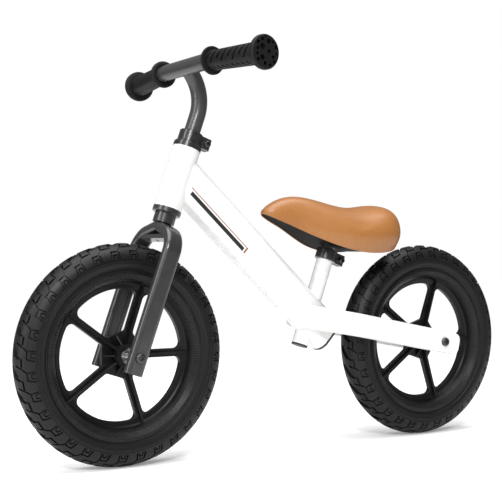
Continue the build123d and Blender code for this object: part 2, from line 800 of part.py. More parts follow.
# Side view plane with local X forward and local Y up.
middle_plane = Plane(origin=(0, 0, 0), x_dir=(1, 0, 0), z_dir=(0, -1, 0))
with BuildPart() as saddle_base:
    with BuildSketch(middle_plane.offset(-90)):
        with BuildLine():
            upper = Spline(*edge_curve(base_above_edge))
            lower = Spline(*edge_curve(-base_below_edge))
            Line(upper @ 0, lower @ 0)
            Line(upper @ 1, lower @ 1)
        make_face()
    extrude(amount=180)
    with BuildSketch(Plane.XY.offset(250)):
        with BuildLine():
            left = Spline(*[(x, half_width - base_inset) for x, half_width, top, edge
                            in saddle_stations[1:-1]])
            right = Spline(*[(x, base_inset - half_width) for x, half_width, top, edge
                             in saddle_stations[1:-1]])
            Line(left @ 0, right @ 0)
            Line(left @ 1, right @ 1)
        make_face()
    extrude(amount=150, mode=Mode.INTERSECT)
    with BuildSketch(seat_plane.offset(post_top - 14)):
        Circle(socket_radius)
    extrude(amount=14 + socket_roof)
    with BuildSketch(seat_plane.offset(post_top - 60)):
        Circle(post_radius + fit)
    extrude(amount=60, mode=Mode.SUBTRACT)
    with BuildSketch(seat_plane.offset(post_top)):
        Circle(saddle_bolt_radius + fit)
    extrude(amount=10, mode=Mode.SUBTRACT)
keep(saddle_base, "saddle_base")

with BuildPart() as saddle_pad:
    for x, half_width, top, edge in saddle_stations:
        middle = edge + 0.34 * (top - edge)
        with BuildSketch(Plane(origin=(x, 0, middle), x_dir=(0, 1, 0), z_dir=(1, 0, 0))):
            Ellipse(half_width, top - middle)
    loft()
    with BuildSketch(middle_plane.offset(-90)):
        with BuildLine():
            floor_line = Spline(*edge_curve(base_above_edge))
            Polyline(floor_line @ 0, floor_line @ 0 + (30, 0), (floor_line @ 0 + (30, 0)) - (0, 90),
                     floor_line @ 1 - (30, 60), floor_line @ 1 - (30, 0), floor_line @ 1)
        make_face()
    extrude(amount=180, mode=Mode.SUBTRACT)
    with BuildSketch(seat_plane.offset(post_top - 20)):
        Circle(socket_radius)
    extrude(amount=20 + socket_roof + 6, mode=Mode.SUBTRACT)
keep(saddle_pad, "saddle_pad")

# Seat post with a welded end plate; one bolt and nut hold the saddle on it.
end_plate = 3.0
with BuildPart() as seat_post:
    with BuildSketch(seat_plane.offset(post_bottom)):
        Circle(post_radius)
    extrude(amount=post_top - post_bottom)
    with BuildSketch(seat_plane.offset(post_bottom)):
        Circle(post_radius - 1.6)
    extrude(amount=post_top - post_bottom - end_plate, mode=Mode.SUBTRACT)
    with BuildSketch(seat_plane.offset(post_top - 10)):
        Circle(saddle_bolt_radius + fit)
    extrude(amount=10, mode=Mode.SUBTRACT)
keep(seat_post, "seat_post")

with BuildPart() as saddle_bolt:
    with BuildSketch(seat_plane.offset(post_top - 12)):
        Circle(saddle_bolt_radius)
    extrude(amount=12 + socket_roof)
    with BuildSketch(seat_plane.offset(post_top + socket_roof)):
        RegularPolygon(radius=5.6, side_count=6)
    extrude(amount=4)
keep(saddle_bolt, "saddle_bolt")

with BuildPart() as saddle_nut:
    with BuildSketch(seat_plane.offset(post_top - end_plate - 5)):
        RegularPolygon(radius=5.6, side_count=6)
        Circle(saddle_bolt_radius + fit, mode=Mode.SUBTRACT)
    extrude(amount=5)
keep(saddle_nut, "saddle_nut")
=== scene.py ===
# %% [markdown]
# # A child's balance bike
# The moving parts of this bike come from a fixed model: frame, fork, wheels, handlebar and saddle
# post already have their sizes and places. This lesson dresses that model. Pieces whose surface
# needs more than a clean engineering shape, such as tyres with a tread, patterned grips and a
# padded saddle, are modelled here again. Everything else keeps its shape and gets a finish.
#
# The fixed model is loaded first.

# %% Load the fixed model
import json
import math

import bmesh
import bpy
import numpy as np
from mathutils import Matrix, Vector


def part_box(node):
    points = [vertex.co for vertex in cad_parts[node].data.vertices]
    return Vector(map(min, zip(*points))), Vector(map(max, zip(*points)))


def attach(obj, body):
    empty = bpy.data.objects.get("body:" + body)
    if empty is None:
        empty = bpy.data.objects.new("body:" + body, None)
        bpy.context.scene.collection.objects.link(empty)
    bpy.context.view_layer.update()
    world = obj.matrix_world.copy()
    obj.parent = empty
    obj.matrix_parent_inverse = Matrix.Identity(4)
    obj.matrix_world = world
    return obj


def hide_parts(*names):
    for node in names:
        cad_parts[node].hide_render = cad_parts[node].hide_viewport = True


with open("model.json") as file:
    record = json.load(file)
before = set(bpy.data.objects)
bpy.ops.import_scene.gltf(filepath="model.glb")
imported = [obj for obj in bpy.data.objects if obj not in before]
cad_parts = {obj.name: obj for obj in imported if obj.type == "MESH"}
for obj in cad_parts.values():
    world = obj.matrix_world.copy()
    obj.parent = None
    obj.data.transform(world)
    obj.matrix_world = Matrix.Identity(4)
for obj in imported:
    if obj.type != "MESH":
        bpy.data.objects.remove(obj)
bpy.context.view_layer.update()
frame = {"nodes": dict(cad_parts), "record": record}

cad = frame["nodes"]
mm = 0.001
print("pieces in the fixed model:", len(cad))

# %% [markdown]
# ## Camera
# A bike shows best from low down, about level with the hubs, and through a long lens, so that the
# two wheels stay round. The camera stands off to the front left. Its three angles could be typed
# into its rotation fields. Here they are multiplied into one turn, heading first, then tilt, then
# the slight roll, so that their order can't be mistaken.

# %% Camera
camera_place = Vector((0.8700, 1.2890, 0.2896))
camera_heading = math.radians(-122.271)   # from +X, seen from above
camera_tilt = math.radians(-0.170)
camera_roll = math.radians(0.315)

bpy.ops.object.camera_add()
camera = bpy.context.object
camera.data.sensor_width = 36.0
camera.data.lens = 77.0
turn = (Matrix.Rotation(camera_heading - math.pi / 2, 4, "Z")
        @ Matrix.Rotation(math.pi / 2 + camera_tilt, 4, "X")
        @ Matrix.Rotation(camera_roll, 4, "Z"))
camera.matrix_world = Matrix.Translation(camera_place) @ turn
bpy.context.scene.camera = camera
bpy.context.scene.view_settings.view_transform = "Standard"
print("camera stands", round(camera_place.length, 2), "m from the middle of the bike")

# %% [markdown]
# ## Small helpers
# Blender's operators act on whatever is selected, so each step starts from nothing selected. In
# edit mode, `pick` selects faces, edges or corners by a test on their place. That replaces
# clicking. `use_modifier` adds a modifier, sets it and applies it at once.

# %% Helpers for objects


def only(obj):
    """Makes obj the one selected and active object."""
    for other in list(bpy.context.selected_objects):
        other.select_set(False)
    obj.select_set(True)
    bpy.context.view_layer.objects.active = obj
    return obj


def begin_edit(obj, mode="FACE"):
    """Opens obj in edit mode, ready to select faces, edges or corners."""
    only(obj)
    bpy.ops.object.mode_set(mode="EDIT")
    bpy.ops.mesh.select_mode(type=mode)


def end_edit():
    """Goes back to object mode."""
    bpy.ops.object.mode_set(mode="OBJECT")


def pick(obj, kind, test):
    """Selects the faces, edges or verts of obj that pass the test, and returns how many."""
    mesh = bmesh.from_edit_mesh(obj.data)
    for group in (mesh.faces, mesh.edges, mesh.verts):
        for item in group:
            item.select_set(False)
    chosen = [item for item in getattr(mesh, kind) if test(item)]
    for item in chosen:
        item.select_set(True)
    bmesh.update_edit_mesh(obj.data)
    return len(chosen)


def use_modifier(obj, kind, **settings):
    """Adds one modifier with its settings and applies it."""
    only(obj)
    modifier = obj.modifiers.new(kind.lower(), kind)
    for name, value in settings.items():
        setattr(modifier, name, value)
    bpy.ops.object.modifier_apply(modifier=modifier.name)


def apply_place(obj):
    """Moves an object's place and turn into its mesh."""
    only(obj)
    bpy.ops.object.transform_apply(location=True, rotation=True, scale=True)


def clean_shell(obj, distance=0.00001):
    """Merges corners that coincide and turns every face outwards."""
    begin_edit(obj)
    bpy.ops.mesh.select_all(action="SELECT")
    bpy.ops.mesh.remove_doubles(threshold=distance)
    bpy.ops.mesh.normals_make_consistent(inside=False)
    end_edit()


def smooth_by_angle(obj, degrees):
    """Shades obj smooth, except over edges that are sharper than the angle."""
    only(obj)
    bpy.ops.object.shade_smooth_by_angle(angle=math.radians(degrees))


def finish_piece(obj, name, body, nodes):
    """Names a piece, ties it to its moving body and hides the fixed nodes that it stands for."""
    obj.name = name
    obj.data.name = name
    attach(obj, body)
    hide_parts(*nodes)
    print(name, "has", sum(len(p.vertices) - 2 for p in obj.data.polygons), "triangles")

# %% [markdown]
# ## Floor and light
# The bike stands on white under big soft lights. A curved backdrop could be modelled, but a wide
# flat disc is enough if its far part glows, because it then runs into the white background with
# no horizon. Near the bike it is a plain white surface that takes the soft shadow of the tyres.

# %% Floor
floor_radius = 9.0
bpy.ops.mesh.primitive_circle_add(vertices=96, radius=floor_radius, fill_type="NGON")
floor = bpy.context.object
floor.name = "floor"
print("floor reaches", floor_radius, "m from the middle")

# %% [markdown]
# ## Shader helpers
# A material is a small graph. `add_node` makes one node, sets its values, and links any socket
# that is given for an input. `step_up` and `band` turn a measure into a mask. `new_group` starts
# a reusable effect with named inputs and outputs, and `use_group` places it in a material.

# %% Helpers for materials


def add_node(tree, kind, inputs=None, **settings):
    """Adds a node; inputs are set by name or number, and settings are the node's own."""
    node = tree.nodes.new("ShaderNode" + kind)
    for name, value in settings.items():
        setattr(node, name, value)
    for key, value in (inputs or {}).items():
        if isinstance(value, bpy.types.NodeSocket):
            tree.links.new(value, node.inputs[key])
        else:
            node.inputs[key].default_value = value
    return node


def math_node(tree, operation, first, second=0.0):
    """The value output of one Math node."""
    return add_node(tree, "Math", {0: first, 1: second}, operation=operation).outputs[0]


def step_up(tree, value, low, high):
    """0 below low, 1 above high, and a straight ramp between."""
    ramp = add_node(tree, "MapRange", {"Value": value, "From Min": low, "From Max": high})
    return ramp.outputs["Result"]


def band(tree, value, low, high, soft):
    """1 between low and high, and 0 outside, with soft edges."""
    rise = step_up(tree, value, low - soft, low + soft)
    fall = step_up(tree, value, high + soft, high - soft)
    return math_node(tree, "MULTIPLY", rise, fall)


def mix_colour(tree, factor, first, second):
    """A mix of two colours; the factor and the colours may be sockets."""
    mix = add_node(tree, "Mix", {"Factor": factor, "A": first, "B": second}, data_type="RGBA")
    return mix.outputs["Result"]


def new_group(name, inputs, outputs):
    """Starts a shader node group; returns its tree, its input node and its output node."""
    tree = bpy.data.node_groups.new(name, "ShaderNodeTree")
    for label, value in inputs.items():
        socket = tree.interface.new_socket(label, in_out="INPUT", socket_type="NodeSocketFloat")
        socket.default_value = value
    for label in outputs:
        tree.interface.new_socket(label, in_out="OUTPUT", socket_type="NodeSocketFloat")
    return tree, tree.nodes.new("NodeGroupInput"), tree.nodes.new("NodeGroupOutput")


def use_group(tree, group, **inputs):
    """Places a node group in a material, with its own values."""
    node = tree.nodes.new("ShaderNodeGroup")
    node.node_tree = group
    for label, value in inputs.items():
        node.inputs[label].default_value = value
    return node


def new_material(name, roughness, **constants):
    """A material with a Principled shader; constants are set on the shader's own sockets."""
    material = bpy.data.materials.new(name)
    material.use_nodes = True
    tree = material.node_tree
    shader = tree.nodes["Principled BSDF"]
    shader.inputs["Roughness"].default_value = roughness
    for label, value in constants.items():
        shader.inputs[label.replace("_", " ")].default_value = value
    return material, tree, shader


def bump(tree, shader, height, strength, distance):
    """Feeds a height into the shader's normal."""
    node = add_node(tree, "Bump", {"Height": height, "Strength": strength, "Distance": distance})
    tree.links.new(node.outputs["Normal"], shader.inputs["Normal"])


def paint_colour(tree, shader, colour_output):
    """Feeds a colour into the shader."""
    tree.links.new(colour_output, shader.inputs["Base Color"])


def vary_roughness(tree, shader, mask, low, high):
    """Moves the shader's roughness from low to high with a mask."""
    rough = add_node(tree, "MapRange", {"Value": mask, "To Min": low, "To Max": high})
    tree.links.new(rough.outputs["Result"], shader.inputs["Roughness"])


# %% [markdown]
# The floor's finish changes with the distance from the middle. The near part is white paint, and
# the far part is black paint that glows white, so that no light can tint it. Only the camera sees
# the glow. Otherwise it would light the bike from below.

# %% Floor material
floor_clear = 1.3        # the plain part's radius
floor_glow = 2.4         # from here out the floor is as white as the background
near_glow = 0.22         # a little of it near the bike keeps the shadows soft
floor_paint, tree, shader = new_material("floor_white", 0.9)
place = add_node(tree, "TexCoord").outputs["Object"]
reach = add_node(tree, "VectorMath", {0: place}, operation="LENGTH").outputs["Value"]
far = step_up(tree, reach, floor_clear, floor_glow)
paint_colour(tree, shader, mix_colour(tree, far, (0.92, 0.92, 0.92, 1), (0, 0, 0, 1)))
looked_at = add_node(tree, "LightPath").outputs["Is Camera Ray"]
lift = add_node(tree, "MapRange",
                {"Value": far, "To Min": near_glow, "To Max": 1.0}).outputs["Result"]
glow = math_node(tree, "MULTIPLY", lift, looked_at)     # the glow lights nothing else
tree.links.new(mix_colour(tree, glow, (0, 0, 0, 1), (1, 1, 1, 1)), shader.inputs["Emission Color"])
shader.inputs["Emission Strength"].default_value = 1.0
floor.data.materials.append(floor_paint)

# %% [markdown]
# The camera sees a pure white background, but the bike is lit by a much dimmer one, so that its
# dark parts stay dark. Three rectangular lights do the rest: a large one overhead for the short
# dark shadow under each tyre, a key light from the front left, and a tall strip ahead of the bike
# that draws the long highlights on the tubes.

# %% World and lights
world = bpy.data.worlds.new("studio")
bpy.context.scene.world = world
world.use_nodes = True
sky = world.node_tree
sky_seen = sky.nodes["Background"]
sky_seen.inputs["Color"].default_value = (1, 1, 1, 1)
sky_strength = 0.24      # what lights the bike
sky_light = add_node(sky, "Background", {"Color": (1, 1, 1, 1), "Strength": sky_strength})
seen = add_node(sky, "LightPath").outputs["Is Camera Ray"]
sky_mix = add_node(sky, "MixShader", {0: seen, 1: sky_light.outputs[0], 2: sky_seen.outputs[0]})
sky.links.new(sky_mix.outputs[0], sky.nodes["World Output"].inputs["Surface"])


def soft_light(name, place, target, width, height, power):
    """A rectangular light that faces a point."""
    bpy.ops.object.light_add(type="AREA", location=place)
    light = bpy.context.object
    light.name = name
    light.data.shape = "RECTANGLE"
    light.data.size = width
    light.data.size_y = height
    light.data.energy = power
    towards = Vector(target) - Vector(place)
    light.rotation_euler = towards.to_track_quat("-Z", "Y").to_euler()
    return light


hub_height = 0.15
soft_light("light_overhead", (0.2, 0.3, 3.2), (0, 0, 0), 3.0, 3.0, 128)
soft_light("light_key", (1.7, 2.5, 2.3), (0, 0, hub_height), 0.8, 0.8, 85)
soft_light("light_front_strip", (2.4, 0.2, 1.0), (0, 0, hub_height), 0.5, 2.2, 30)

# %% [markdown]
# ## Effects that several finishes share
# Real surfaces are never even. These groups are built once: a fine moulded grain, bright worn
# edges, a thin film of dust on faces that look up, and the pores of leather. Each gives out masks
# or heights only, and every material decides what to do with them.

# %% Group: moulded grain
grain_group, tree_in, tree_out = new_group(
    "moulded_grain", {"Scale": 900.0, "Blotch Scale": 14.0}, ["Height", "Blotch"])
place = add_node(grain_group, "TexCoord").outputs["Object"]
fine = add_node(grain_group, "TexNoise", {"Vector": place, "Scale": tree_in.outputs["Scale"],
                                          "Detail": 3.0})
broad = add_node(grain_group, "TexNoise", {"Vector": place, "Detail": 4.0,
                                           "Scale": tree_in.outputs["Blotch Scale"]})
grain_group.links.new(fine.outputs["Fac"], tree_out.inputs["Height"])
grain_group.links.new(step_up(grain_group, broad.outputs["Fac"], 0.3, 0.7),
                      tree_out.inputs["Blotch"])

# %% [markdown]
# Paint and plastic rub thin where an edge stands out. Pointiness finds such edges, and a noise
# breaks them up, because an even bright line would look drawn. Wear could be painted by hand, but
# then it would have to be done again for every piece.

# %% Group: worn edges
wear_group, tree_in, tree_out = new_group("worn_edges", {"Amount": 1.0, "Scale": 60.0}, ["Mask"])
place = add_node(wear_group, "TexCoord").outputs["Object"]
sharp = add_node(wear_group, "NewGeometry").outputs["Pointiness"]
patchy = add_node(wear_group, "TexNoise", {"Vector": place, "Scale": tree_in.outputs["Scale"],
                                           "Detail": 5.0})
edge = step_up(wear_group, sharp, 0.53, 0.62)
patches = step_up(wear_group, patchy.outputs["Fac"], 0.35, 0.65)
worn = math_node(wear_group, "MULTIPLY", edge, patches)
wear_group.links.new(math_node(wear_group, "MULTIPLY", worn, tree_in.outputs["Amount"]),
                     tree_out.inputs["Mask"])

# %% [markdown]
# Dust lies on what faces up. The surface normal gives that without a simulation, and a rough
# noise makes it patchy.

# %% Group: settled dust
dust_group, tree_in, tree_out = new_group("settled_dust", {"Amount": 0.3, "Scale": 30.0}, ["Mask"])
place = add_node(dust_group, "TexCoord").outputs["Object"]
facing = add_node(dust_group, "NewGeometry").outputs["Normal"]
upwards = add_node(dust_group, "SeparateXYZ", {"Vector": facing}).outputs["Z"]
specks = add_node(dust_group, "TexNoise", {"Vector": place, "Scale": tree_in.outputs["Scale"],
                                           "Detail": 8.0, "Roughness": 0.7})
lying = math_node(dust_group, "MULTIPLY", step_up(dust_group, upwards, 0.2, 1.0),
                  step_up(dust_group, specks.outputs["Fac"], 0.35, 0.7))
dust_group.links.new(math_node(dust_group, "MULTIPLY", lying, tree_in.outputs["Amount"]),
                     tree_out.inputs["Mask"])

# %% [markdown]
# Leather is covered in small plump cells with thin creases between them. A Voronoi pattern gives
# the distance to the nearest crease. A slow noise sways its coordinates a little, since plain
# Voronoi cells look too straight-sided.

# %% Group: leather pores
leather_group, tree_in, tree_out = new_group("leather_pores", {"Scale": 520.0}, ["Height", "Tone"])
place = add_node(leather_group, "TexCoord").outputs["Object"]
drift = add_node(leather_group, "TexNoise", {"Vector": place, "Scale": 90.0, "Detail": 2.0})
swayed = add_node(leather_group, "VectorMath", {0: drift.outputs["Color"]}, operation="SCALE")
swayed.inputs["Scale"].default_value = 0.004
moved = add_node(leather_group, "VectorMath", {0: place, 1: swayed.outputs[0]}, operation="ADD")
cells = add_node(leather_group, "TexVoronoi", {"Vector": moved.outputs[0],
                                               "Scale": tree_in.outputs["Scale"]},
                 feature="DISTANCE_TO_EDGE")
tone = add_node(leather_group, "TexNoise", {"Vector": place, "Scale": 22.0, "Detail": 5.0})
leather_group.links.new(step_up(leather_group, cells.outputs["Distance"], 0.0, 0.16),
                        tree_out.inputs["Height"])
leather_group.links.new(step_up(leather_group, tone.outputs["Fac"], 0.3, 0.7),
                        tree_out.inputs["Tone"])
print("shared effects:", [group.name for group in bpy.data.node_groups])

# %% [markdown]
# ## Paint
# The frame wears a thick glossy white powder coat, the fork a dark grey gloss, and the bar a
# satin version of it. Powder coat has a faint orange peel, so a very soft bump breaks up
# reflections. Colour moves a little from place to place, and the tone drops at worn edges.

# %% Paint materials
dust_on_paint = (0.45, 0.43, 0.40, 1)


def paint(name, colour, worn_colour, roughness, peel, coat):
    """A coat of paint with orange peel, worn edges and a little dust."""
    material, tree, shader = new_material(name, roughness, Coat_Weight=coat, Coat_Roughness=0.18)
    grain = use_group(tree, grain_group, **{"Scale": 420.0, "Blotch Scale": 9.0})
    wear = use_group(tree, wear_group, Amount=0.35, Scale=80.0)
    dust = use_group(tree, dust_group, Amount=0.03, Scale=60.0)
    darker = tuple(channel * 0.93 for channel in colour[:3]) + (1,)
    base = mix_colour(tree, grain.outputs["Blotch"], darker, colour)
    edged = mix_colour(tree, wear.outputs["Mask"], base, worn_colour)
    paint_colour(tree, shader, mix_colour(tree, dust.outputs["Mask"], edged, dust_on_paint))
    vary_roughness(tree, shader, grain.outputs["Blotch"], roughness * 0.85, roughness * 1.15)
    bump(tree, shader, grain.outputs["Height"], peel, 0.0003)
    return material


frame_white = paint("frame_white", (0.88, 0.88, 0.87, 1), (0.70, 0.69, 0.67, 1),
                    roughness=0.28, peel=0.10, coat=0.6)
fork_grey = paint("fork_grey", (0.021, 0.021, 0.022, 1), (0.05, 0.05, 0.05, 1),
                  roughness=0.33, peel=0.05, coat=0.45)
bar_grey = paint("bar_grey", (0.036, 0.036, 0.037, 1), (0.13, 0.13, 0.13, 1),
                 roughness=0.38, peel=0.16, coat=0.3)
clamp_black = paint("clamp_black", (0.008, 0.008, 0.0085, 1), (0.08, 0.08, 0.08, 1),
                    roughness=0.32, peel=0.14, coat=0.3)
print("paints:", [coat.name for coat in (frame_white, fork_grey, bar_grey, clamp_black)])

# %% [markdown]
# The down tube carries a sticker on each side: a black stripe, a gap of white, and a rust-brown
# line that hooks round the stripe's lower end. A thin sheet could carry it, but a mask in the
# paint can't lift or flicker. It is drawn in the tube's own directions: one coordinate runs along
# the tube, and one measures up from its middle.

# %% Down tube with its stripes
tube_slope = math.radians(42.6)
tube_foot = Vector((-0.0745, 0.0, 0.162))       # middle of the open lower end
stripe_start, stripe_end = 198.0 * mm, 311.0 * mm
stripe_low, stripe_high = -15.0 * mm, -9.2 * mm
line_low, line_high = -6.9 * mm, -5.6 * mm
line_past = 4 * mm                               # the line runs on past the stripe's upper end
hook_width = 2.6 * mm
stripe_black, line_brown = (0.020, 0.021, 0.020, 1), (0.28, 0.085, 0.03, 1)

tube_white = frame_white.copy()
tube_white.name = "tube_white_striped"
tree = tube_white.node_tree
shader = tree.nodes["Principled BSDF"]
under = shader.inputs["Base Color"].links[0].from_socket
place = add_node(tree, "TexCoord").outputs["Object"]
shifted = add_node(tree, "VectorMath", {0: place, 1: tube_foot}, operation="SUBTRACT").outputs[0]
along_axis = Vector((math.cos(tube_slope), 0, math.sin(tube_slope)))
up_axis = Vector((-math.sin(tube_slope), 0, math.cos(tube_slope)))
along = add_node(tree, "VectorMath", {0: shifted, 1: along_axis},
                 operation="DOT_PRODUCT").outputs["Value"]
above = add_node(tree, "VectorMath", {0: shifted, 1: up_axis},
                 operation="DOT_PRODUCT").outputs["Value"]
crisp = 0.08 * mm
stripe = math_node(tree, "MULTIPLY", band(tree, along, stripe_start, stripe_end, crisp),
                   band(tree, above, stripe_low, stripe_high, crisp))
line = math_node(tree, "MULTIPLY",
                 band(tree, along, stripe_start - 2 * hook_width, stripe_end + line_past, crisp),
                 band(tree, above, line_low, line_high, crisp))
hook = math_node(tree, "MULTIPLY",
                 band(tree, along, stripe_start - 2 * hook_width, stripe_start - hook_width, crisp),
                 band(tree, above, stripe_low, line_high, crisp))
brown = math_node(tree, "MAXIMUM", line, hook)
with_stripe = mix_colour(tree, stripe, under, stripe_black)
paint_colour(tree, shader, mix_colour(tree, brown, with_stripe, line_brown))
print("stripe is", round((stripe_end - stripe_start) / mm), "mm long")

# %% [markdown]
# ## Plastic, rubber, steel and leather
# The wheels are moulded in black nylon with a low gloss. The tyres are foam, matte and a little
# dusty in the tread. Bolts are black-oxided, bearings are ground steel, and the saddle cover is a
# smooth tan synthetic leather.

# %% Plastic, foam and rubber
dust_on_plastic = (0.20, 0.19, 0.18, 1)


def moulded(name, colour, worn_colour, roughness, grain_scale, grain_strength, dust_amount,
            shine=0.22):
    """Moulded plastic, foam or rubber with grain, pale edges and dust."""
    material, tree, shader = new_material(name, roughness, Specular_IOR_Level=shine)
    grain = use_group(tree, grain_group, **{"Scale": grain_scale, "Blotch Scale": 18.0})
    wear = use_group(tree, wear_group, Amount=0.5, Scale=120.0)
    dust = use_group(tree, dust_group, Amount=dust_amount, Scale=90.0)
    paler = tuple(channel * 1.35 for channel in colour[:3]) + (1,)
    base = mix_colour(tree, grain.outputs["Blotch"], colour, paler)
    edged = mix_colour(tree, wear.outputs["Mask"], base, worn_colour)
    paint_colour(tree, shader, mix_colour(tree, dust.outputs["Mask"], edged, dust_on_plastic))
    vary_roughness(tree, shader, grain.outputs["Blotch"], roughness * 0.9, roughness * 1.1)
    bump(tree, shader, grain.outputs["Height"], grain_strength, 0.0002)
    return material


wheel_black = moulded("wheel_black", (0.0035, 0.0035, 0.0037, 1), (0.03, 0.03, 0.03, 1),
                      roughness=0.36, grain_scale=1200, grain_strength=0.18, dust_amount=0.02)
tyre_black = moulded("tyre_black", (0.004, 0.004, 0.0042, 1), (0.035, 0.035, 0.035, 1),
                     roughness=0.45, grain_scale=1600, grain_strength=0.35, dust_amount=0.02,
                     shine=0.28)
grip_black = moulded("grip_black", (0.005, 0.005, 0.005, 1), (0.03, 0.03, 0.03, 1),
                     roughness=0.50, grain_scale=1800, grain_strength=0.5, dust_amount=0.03)
base_black = moulded("base_black", (0.006, 0.0055, 0.005, 1), (0.03, 0.03, 0.03, 1),
                     roughness=0.62, grain_scale=900, grain_strength=0.6, dust_amount=0.0,
                     shine=0.04)
plug_black = moulded("plug_black", (0.020, 0.020, 0.020, 1), (0.06, 0.06, 0.06, 1),
                     roughness=0.5, grain_scale=900, grain_strength=0.4, dust_amount=0.1)

# %% [markdown]
# Turned and plated steel is bright, and its roughness drifts where a tool or a hand has polished
# it. The moulded grain stands in for turning marks when its scale is very fine.

# %% Metals


def metal(name, colour, roughness, streak_scale, streak_strength):
    """Bare or plated metal with fine turning marks."""
    material, tree, shader = new_material(name, roughness, Metallic=1.0)
    grain = use_group(tree, grain_group, **{"Scale": streak_scale, "Blotch Scale": 40.0})
    wear = use_group(tree, wear_group, Amount=0.6, Scale=200.0)
    darker = tuple(channel * 0.8 for channel in colour[:3]) + (1,)
    base = mix_colour(tree, grain.outputs["Blotch"], darker, colour)
    paint_colour(tree, shader, mix_colour(tree, wear.outputs["Mask"], base, (0.75, 0.75, 0.76, 1)))
    vary_roughness(tree, shader, grain.outputs["Blotch"], roughness * 0.75, roughness * 1.25)
    bump(tree, shader, grain.outputs["Height"], streak_strength, 0.0001)
    return material


bearing_steel = metal("bearing_steel", (0.62, 0.62, 0.64, 1),
                      roughness=0.24, streak_scale=2500, streak_strength=0.1)
axle_steel = metal("axle_steel", (0.66, 0.66, 0.68, 1),
                   roughness=0.18, streak_scale=2000, streak_strength=0.1)
bolt_black = metal("bolt_black", (0.09, 0.09, 0.095, 1),
                   roughness=0.34, streak_scale=1800, streak_strength=0.2)

# %% [markdown]
# The tan cover is synthetic leather under a thin clear coat. Its creases are darker, duller and
# lower than its cells, so one mask drives the colour, the roughness and the bump.

# %% Leather
saddle_tan, tree, shader = new_material("saddle_tan", 0.42, Coat_Weight=0.25, Coat_Roughness=0.28)
pores = use_group(tree, leather_group, Scale=640.0)
wear = use_group(tree, wear_group, Amount=0.25, Scale=50.0)
tan = mix_colour(tree, pores.outputs["Tone"], (0.33, 0.132, 0.028, 1), (0.38, 0.155, 0.035, 1))
pored = mix_colour(tree, pores.outputs["Height"], (0.27, 0.10, 0.024, 1), tan)
paint_colour(tree, shader, mix_colour(tree, wear.outputs["Mask"], pored, (0.50, 0.24, 0.085, 1)))
vary_roughness(tree, shader, pores.outputs["Height"], 0.55, 0.38)
bump(tree, shader, pores.outputs["Height"], 0.25, 0.00015)

# %% [markdown]
# The rim's lip carries a ring of fine moulded ticks. They are drawn as a bump, and are also painted
# paler as a painted highlight where their ridges catch the light. Both come from the angle round
# the wheel's own centre, so the front and the rear rim each get a material of their own.

# %% Rim with ticks
tick_count = 220
tick_inner, tick_outer = 98.5 * mm, 107.0 * mm
hub_reach, hub_level = 258 * mm, 147.5 * mm      # from the middle of the bike, and off the ground


def ticked_rim(name, wheel_x):
    """The wheel plastic with radial ticks on the lip, bumped and given a painted highlight, about a
    wheel centre at wheel_x.
    """
    material = wheel_black.copy()
    material.name = name
    tree = material.node_tree
    shader = tree.nodes["Principled BSDF"]
    place = add_node(tree, "TexCoord").outputs["Object"]
    centre = Vector((wheel_x, 0, hub_level))
    offset = add_node(tree, "VectorMath", {0: place, 1: centre}, operation="SUBTRACT").outputs[0]
    parts = add_node(tree, "SeparateXYZ", {"Vector": offset})
    flat = add_node(tree, "CombineXYZ", {"X": parts.outputs["X"], "Z": parts.outputs["Z"]})
    reach = add_node(tree, "VectorMath", {0: flat.outputs[0]}, operation="LENGTH").outputs["Value"]
    angle = math_node(tree, "ARCTAN2", parts.outputs["Z"], parts.outputs["X"])
    wave = math_node(tree, "SINE", math_node(tree, "MULTIPLY", angle, float(tick_count)))
    tick = math_node(tree, "MULTIPLY", step_up(tree, wave, -0.3, 0.4),
                     band(tree, reach, tick_inner, tick_outer, 0.4 * mm))
    old = shader.inputs["Normal"].links[0].from_node
    ticks = add_node(tree, "Bump", {"Height": tick, "Strength": 0.9, "Distance": 0.0006,
                                    "Normal": old.outputs["Normal"]})
    tree.links.new(ticks.outputs["Normal"], shader.inputs["Normal"])
    under = shader.inputs["Base Color"].links[0].from_socket
    # The ticks are painted paler than the plastic: a painted highlight on their ridges, not a
    # colour of their own.
    share = math_node(tree, "MULTIPLY", tick, 0.5)
    paint_colour(tree, shader, mix_colour(tree, share, under, (0.030, 0.030, 0.030, 1)))
    return material


# %% [markdown]
# ## Finishes on the fixed pieces
# The fixed model gives each piece a slot, such as frame paint. A table says which finish each
# slot gets, so that no piece is forgotten. The down tube and the two rims then get their own.

# %% Give each fixed piece its finish
finishes = {
    "frame_paint": frame_white, "fork_paint": fork_grey, "bar_paint": bar_grey,
    "clamp_paint": clamp_black, "bearing_steel": bearing_steel, "bolt_steel": bolt_black,
    "axle_steel": axle_steel, "rim_plastic": wheel_black, "tyre_foam": tyre_black,
    "grip_rubber": grip_black, "saddle_cover": saddle_tan, "base_plastic": base_black,
    "plug_plastic": plug_black,
}
for row in frame["record"]["subparts"]:
    mesh = cad[row["node"]].data
    mesh.materials.clear()
    mesh.materials.append(finishes[row["material_slot"]])
cad["down_tube"].data.materials[0] = tube_white
cad["front_rim"].data.materials[0] = ticked_rim("front_rim_ticked", hub_reach)
cad["rear_rim"].data.materials[0] = ticked_rim("rear_rim_ticked", -hub_reach)
print("finishes given out:", len(finishes))

# %% [markdown]
# ## Tyres
# A foam tyre is one moulding with thin grooves cut into a round tread. One pitch of the tread is
# modelled flat: a tile as long as one pitch and as wide as the tyre is round. Straight cuts
# outline the Y-shaped grooves, and the faces inside them are pushed in. The tile is then repeated
# round the wheel and bent twice: first into a tube, then into a ring. A displacement map could do
# it with less work, but its grooves would have soft, stepped walls.

# %% Tile and groove helpers


def flat_tile(name, length, width):
    """A flat sheet in the XZ plane that faces -Y, with its lower left corner at X = 0."""
    bpy.ops.mesh.primitive_plane_add(size=1, rotation=(math.pi / 2, 0, 0))
    tile = bpy.context.object
    tile.name = name
    tile.scale = (length, width, 1)
    tile.location = (length / 2, 0, 0)
    apply_place(tile)
    return tile


